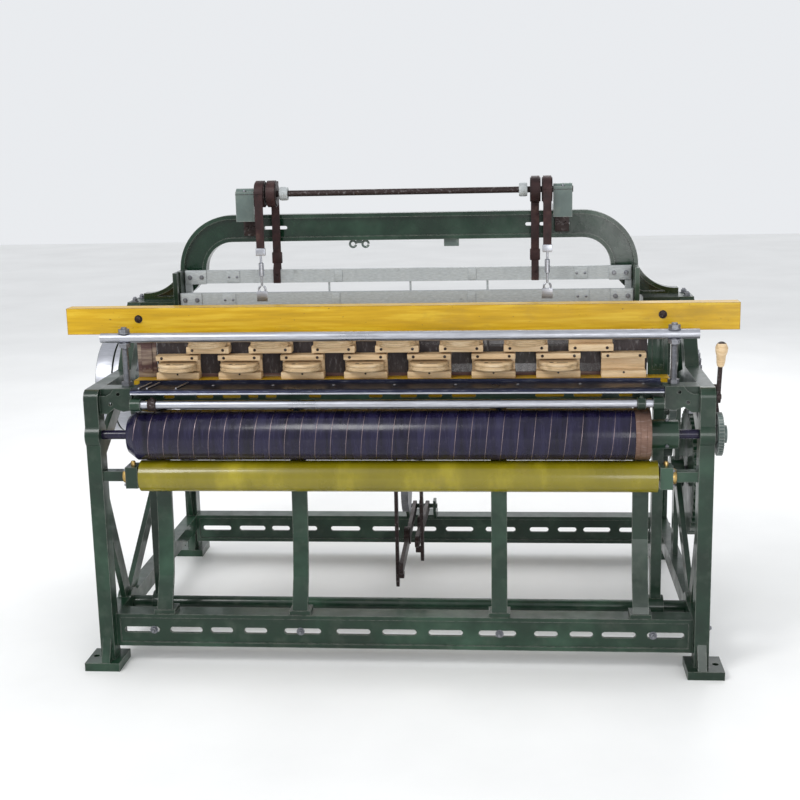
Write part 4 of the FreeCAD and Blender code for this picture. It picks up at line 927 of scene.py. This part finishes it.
class LOOM_OT_rollers(bpy.types.Operator):
    """Winds the bright seams round the take-up roller and finishes the cloth roller and its bearings"""
    bl_idname = "loom.rollers"
    bl_label = "Rollers"

    def execute(self, context):
        dress("green", "take_up_hub")
        dress("grey_green", "take_up_ratchet")
        dress("olive", "cloth_roller")
        self.barrel()
        self.seams()
        self.ring()
        self.bearing_caps()
        return {"FINISHED"}

    def barrel(self):
        """The lacquered barrel, a seam's height slimmer than the roller, with its nose and shaft."""
        y, z, radius, left, right = barrel_span("take_up_roller")
        a, b = low("take_up_roller").x, high("take_up_roller").x
        skin, nose, tip = radius - SEAM_HEIGHT, radius - NOSE_TAPER, left - NOSE_LENGTH
        rod = barrel_span("take_up_roller", end=True)[2]
        form = Shape()
        form.turned((0, y, z), RIGHT,
                    [(a, rod - 0.001), (a + 0.001, rod), (tip, rod), (tip, nose - 0.001), (tip + 0.001, nose),
                     (left - 0.0006, skin - 0.0004), (left, skin), (right - 0.001, skin),
                     (right, skin - 0.001), (right, rod), (b - 0.001, rod), (b, rod - 0.001)], 72)
        form = form.piece("take_up_barrel", "take_up", "navy", "navy_roller")
        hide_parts("take_up_roller")

    def seams(self):
        y, z, radius, left, right = barrel_span("take_up_roller")
        radius -= SEAM_HEIGHT
        pitch, width = sizes().seam_pitch, sizes().seam_width
        per_turn = 40
        turns = (right - left - 2 * width) / pitch
        line = []
        for k in range(int(turns * per_turn) + 1):
            angle = 2 * math.pi * k / per_turn
            line.append((left + width + pitch * k / per_turn, y - (radius + 0.0001) * math.cos(angle),
                         z + (radius + 0.0001) * math.sin(angle)))
        strip = Shape()
        strip.band(line, 0.0012, (width, 0, 0))
        strip.piece("take_up_seam", "take_up", "seam", "bright_steel")

    def ring(self):
        y, z, radius, left, right = barrel_span("take_up_hub")
        sleeve = Shape()
        length, skin = right - left, radius + 0.0018
        sleeve.turned((left, y, z), RIGHT,
                      [(0.0005, radius - 0.001), (0.0005, radius + 0.0010), (0.0040, skin),
                       (length - 0.004, skin), (length - 0.0002, radius + 0.0010),
                       (length + 0.0006, radius - 0.012)], 56)
        for k in range(2):
            x = left + length * (0.3 + 0.4 * k)
            bead = [(-0.0012, radius + 0.0016), (0, radius + 0.0026), (0.0012, radius + 0.0016)]
            sleeve.turned((x, y, z), RIGHT, bead, 56)
        sleeve.piece("take_up_ring", "take_up", "copper_ring", "brown_iron")
        screws = Shape()
        hub = high("take_up_hub").x
        for k in range(3):
            a = math.radians(100 + 120 * k)
            out = Vector((0, math.cos(a), math.sin(a)))
            screws.turned(Vector((hub - 0.030, y, z)) + out * 0.0385, out,
                          [(0, 0.0055), (0.004, 0.0055), (0.0045, 0.0030)], 12)
        screws.piece("take_up_set_screws", "take_up", "forged", "dark_steel")

    def bearing_caps(self):
        centre = middle("cloth_roller")
        caps, bolts = Shape(), Shape()
        for a, b in solids("cloth_roller_brackets"):
            side = 1 if (a.x + b.x) > 0 else -1
            face = side * (0.0345 + min(abs(a.x), abs(b.x)))
            caps.turned((face, centre.y, centre.z), (side, 0, 0),
                        [(0, 0.0210), (0.006, 0.0210), (0.010, 0.0185), (0.012, 0.0100), (0.0125, 0)], 36)
            for y in (-0.020, 0.020):
                for z in (-0.021, 0.021):
                    bolts.hexagon((face, centre.y + y, centre.z + z), (side, 0, 0), 0.0042, 0.005)
            middle_x = face - side * 0.017
            caps.turned((middle_x, centre.y, b.z - 0.0002), UP,
                        [(0, 0.0065), (0.010, 0.0065), (0.012, 0.0050), (0.013, 0)], 20)
        caps.piece("cloth_bearing_caps", "loom_frame", "brass", "bush_bronze")
        bolts.piece("cloth_bearing_bolts", "loom_frame", "forged", "dark_steel")


class LOOM_OT_drive(bpy.types.Operator):
    """Finishes the crankshaft, gears, pulleys, connecting arms and tappets, and adds their bolts"""
    bl_idname = "loom.drive"
    bl_label = "Drive"

    def execute(self, context):
        dress("forged", "crankshaft", "tappet_shaft", "crank_pinion", "tappets")
        dress("green", "tappet_gear", "fast_pulley", "loose_pulley")
        dress("grey_green", "left_connecting_arm", "right_connecting_arm")
        for name, body in (("fast_pulley", "crank"), ("loose_pulley", "idle_pulley")):
            a, b, centre = low(name), high(name), middle(name)
            radius = (b.z - a.z) / 2
            rim = Shape()
            rim.turned((a.x, centre.y, centre.z), RIGHT,
                       [(0.001, radius - 0.004), (0.001, radius + 0.0002), (0.006, radius + 0.0008),
                        ((b.x - a.x) / 2, radius + 0.0016), (b.x - a.x - 0.006, radius + 0.0008),
                        (b.x - a.x - 0.001, radius + 0.0002), (b.x - a.x - 0.001, radius - 0.004)], 96)
            rim.piece(name + "_rim", body, "steel", "bright_steel")
        gear_b, centre = high("tappet_gear"), middle("tappet_gear")
        hub = Shape()
        hub.turned((gear_b.x - 0.0002, centre.y, centre.z), RIGHT,
                   [(0, 0.050), (0.005, 0.050), (0.009, 0.044), (0.0095, 0.0186)], 48)
        for k in range(6):
            a = math.radians(60 * k)
            at = (gear_b.x - 0.0002, centre.y + 0.115 * math.cos(a), centre.z + 0.115 * math.sin(a))
            hub.turned(at, RIGHT, [(0, 0.022), (0.0015, 0.022), (0.0030, 0.017), (0.0006, 0.014)], 28)
        hub.piece("tappet_gear_hub", "tappet_drive", "green", "frame_green")
        for side, name in ((-1, "left"), (1, "right")):
            a, b = low(name + "_connecting_arm"), high(name + "_connecting_arm")
            x = b.x if side > 0 else a.x
            strap = Shape()
            strap.box((x - side * 0.0195, b.y - 0.046, b.z - 0.003),
                      (x - side * 0.0005, b.y - 0.018, b.z + 0.004), 0.001)
            for y in (b.y - 0.040, b.y - 0.024):
                strap.hexagon((x - side * 0.010, y, b.z + 0.003), UP, 0.0045, 0.006)
            strap.piece(name + "_arm_cap_bolts", name + "_arm", "forged", "dark_steel")
        return {"FINISHED"}


class LOOM_OT_rear(bpy.types.Operator):
    """Finishes the warp beam, back rest, stop handle and take-up pawl"""
    bl_idname = "loom.rear"
    bl_label = "Rear and levers"

    def execute(self, context):
        dress("steel", "back_rest_roller")
        dress("green", "warp_beam")
        dress("iron", "starting_handle", "take_up_pawl")
        y, z, _, left, right = barrel_span("warp_beam")
        left, right = left + FLANGE_THICK, right - FLANGE_THICK
        core, skin = WARP_BARREL_R - 0.002, WARP_BARREL_R + 0.0015
        beam = Shape()
        beam.turned((0, y, z), RIGHT, [(left, core), (left, skin), (right, skin), (right, core)], 48)
        beam.piece("warp_beam_barrel", "warp_roll", "birch", "block_wood")
        grip = Shape()
        top = high("starting_handle")
        base = low("starting_handle")
        grip.turned((HANDLE_X, base.y + 0.015, top.z - 0.027), (0, -0.24, 0.97),
                    [(-0.040, 0.0088), (-0.030, 0.0110), (-0.010, 0.0125), (0.000, 0.0155), (0.012, 0.0165),
                     (0.022, 0.0120), (0.0262, 0)], 24)
        grip.piece("starting_handle_grip", "handle", "shuttle", "shuttle_wood")
        return {"FINISHED"}


class LOOM_OT_studio(bpy.types.Operator):
    """Sets the pale floor, the soft lights and the camera"""
    bl_idname = "loom.studio"
    bl_label = "Studio"

    def execute(self, context):
        scene = context.scene
        floor = Shape()
        floor.box(FLOOR_LOW, FLOOR_HIGH, 0.001)
        data = bpy.data.meshes.new("studio_floor")
        floor.mesh.to_mesh(data)
        floor.mesh.free()
        pale = Finish("pale_floor", 0.62)
        shade = colours().floor[:]
        pale.set("Base Color", pale.steps(pale.noise(1.4, 6), (0.3, darker(shade, 0.93)), (0.7, shade)))
        data.materials.append(pale.material)
        plane = bpy.data.objects.new("studio_floor", data)
        scene.collection.objects.link(plane)
        world = bpy.data.worlds.new("studio_air")
        world.use_nodes = True
        air = world.node_tree.nodes["Background"].inputs
        air["Color"].default_value, air["Strength"].default_value = AIR_COLOUR, AIR_STRENGTH
        scene.world = world
        for name, at, aim, size, power in LIGHTS:
            lamp = bpy.data.lights.new(name + "_light", "AREA")
            lamp.size = size
            lamp.energy = power
            holder = bpy.data.objects.new(name + "_light", lamp)
            holder.location = at
            holder.rotation_euler = (Vector(aim) - Vector(at)).to_track_quat("-Z", "Y").to_euler()
            scene.collection.objects.link(holder)
        scene.view_settings.view_transform = "Standard"
        self.camera(scene)
        return {"FINISHED"}

    def camera(self, scene):
        yaw, pitch, roll = CAMERA_YAW, CAMERA_PITCH, CAMERA_ROLL
        flat = math.cos(pitch)
        forward = Vector((-math.sin(yaw) * flat, math.cos(yaw) * flat, -math.sin(pitch)))
        level = Vector((math.cos(yaw), math.sin(yaw), 0))
        up = level.cross(forward)
        right = level * math.cos(roll) + up * math.sin(roll)
        above = up * math.cos(roll) - level * math.sin(roll)
        view = Matrix((right, above, -forward)).transposed().to_4x4()
        view.translation = Vector(CAMERA_PLACE)
        data = bpy.data.cameras.new("camera")
        data.lens = CAMERA_LENS
        data.sensor_width = CAMERA_SENSOR
        holder = bpy.data.objects.new("camera", data)
        holder.matrix_world = view
        scene.collection.objects.link(holder)
        scene.camera = holder


STEPS = (LOOM_OT_castings, LOOM_OT_arch, LOOM_OT_strap_shaft, LOOM_OT_healds, LOOM_OT_sley, LOOM_OT_guard,
         LOOM_OT_breast, LOOM_OT_rollers, LOOM_OT_drive, LOOM_OT_rear, LOOM_OT_studio)


class LOOM_PT_panel(bpy.types.Panel):
    """Lists the loom's steps and its paints"""
    bl_idname = "LOOM_PT_panel"
    bl_label = "Power loom"
    bl_space_type = "VIEW_3D"
    bl_region_type = "UI"
    bl_category = "Loom"

    def draw(self, context):
        for step in STEPS:
            self.layout.operator(step.bl_idname, text=step.bl_label)
        for group in (context.scene.loom_sizes, context.scene.loom_colours):
            box = self.layout.box()
            for name in group.__annotations__:
                box.prop(group, name)


CLASSES = (LoomColours, LoomSizes, *STEPS, LOOM_PT_panel)


def register():
    for item in CLASSES:
        bpy.utils.register_class(item)
    bpy.types.Scene.loom_colours = bpy.props.PointerProperty(type=LoomColours)
    bpy.types.Scene.loom_sizes = bpy.props.PointerProperty(type=LoomSizes)


def unregister():
    del bpy.types.Scene.loom_sizes
    del bpy.types.Scene.loom_colours
    for item in reversed(CLASSES):
        bpy.utils.unregister_class(item)


def main():
    register()
    for step in STEPS:
        group, name = step.bl_idname.split(".")
        getattr(getattr(bpy.ops, group), name)()


if __name__ == "__main__":
    main()
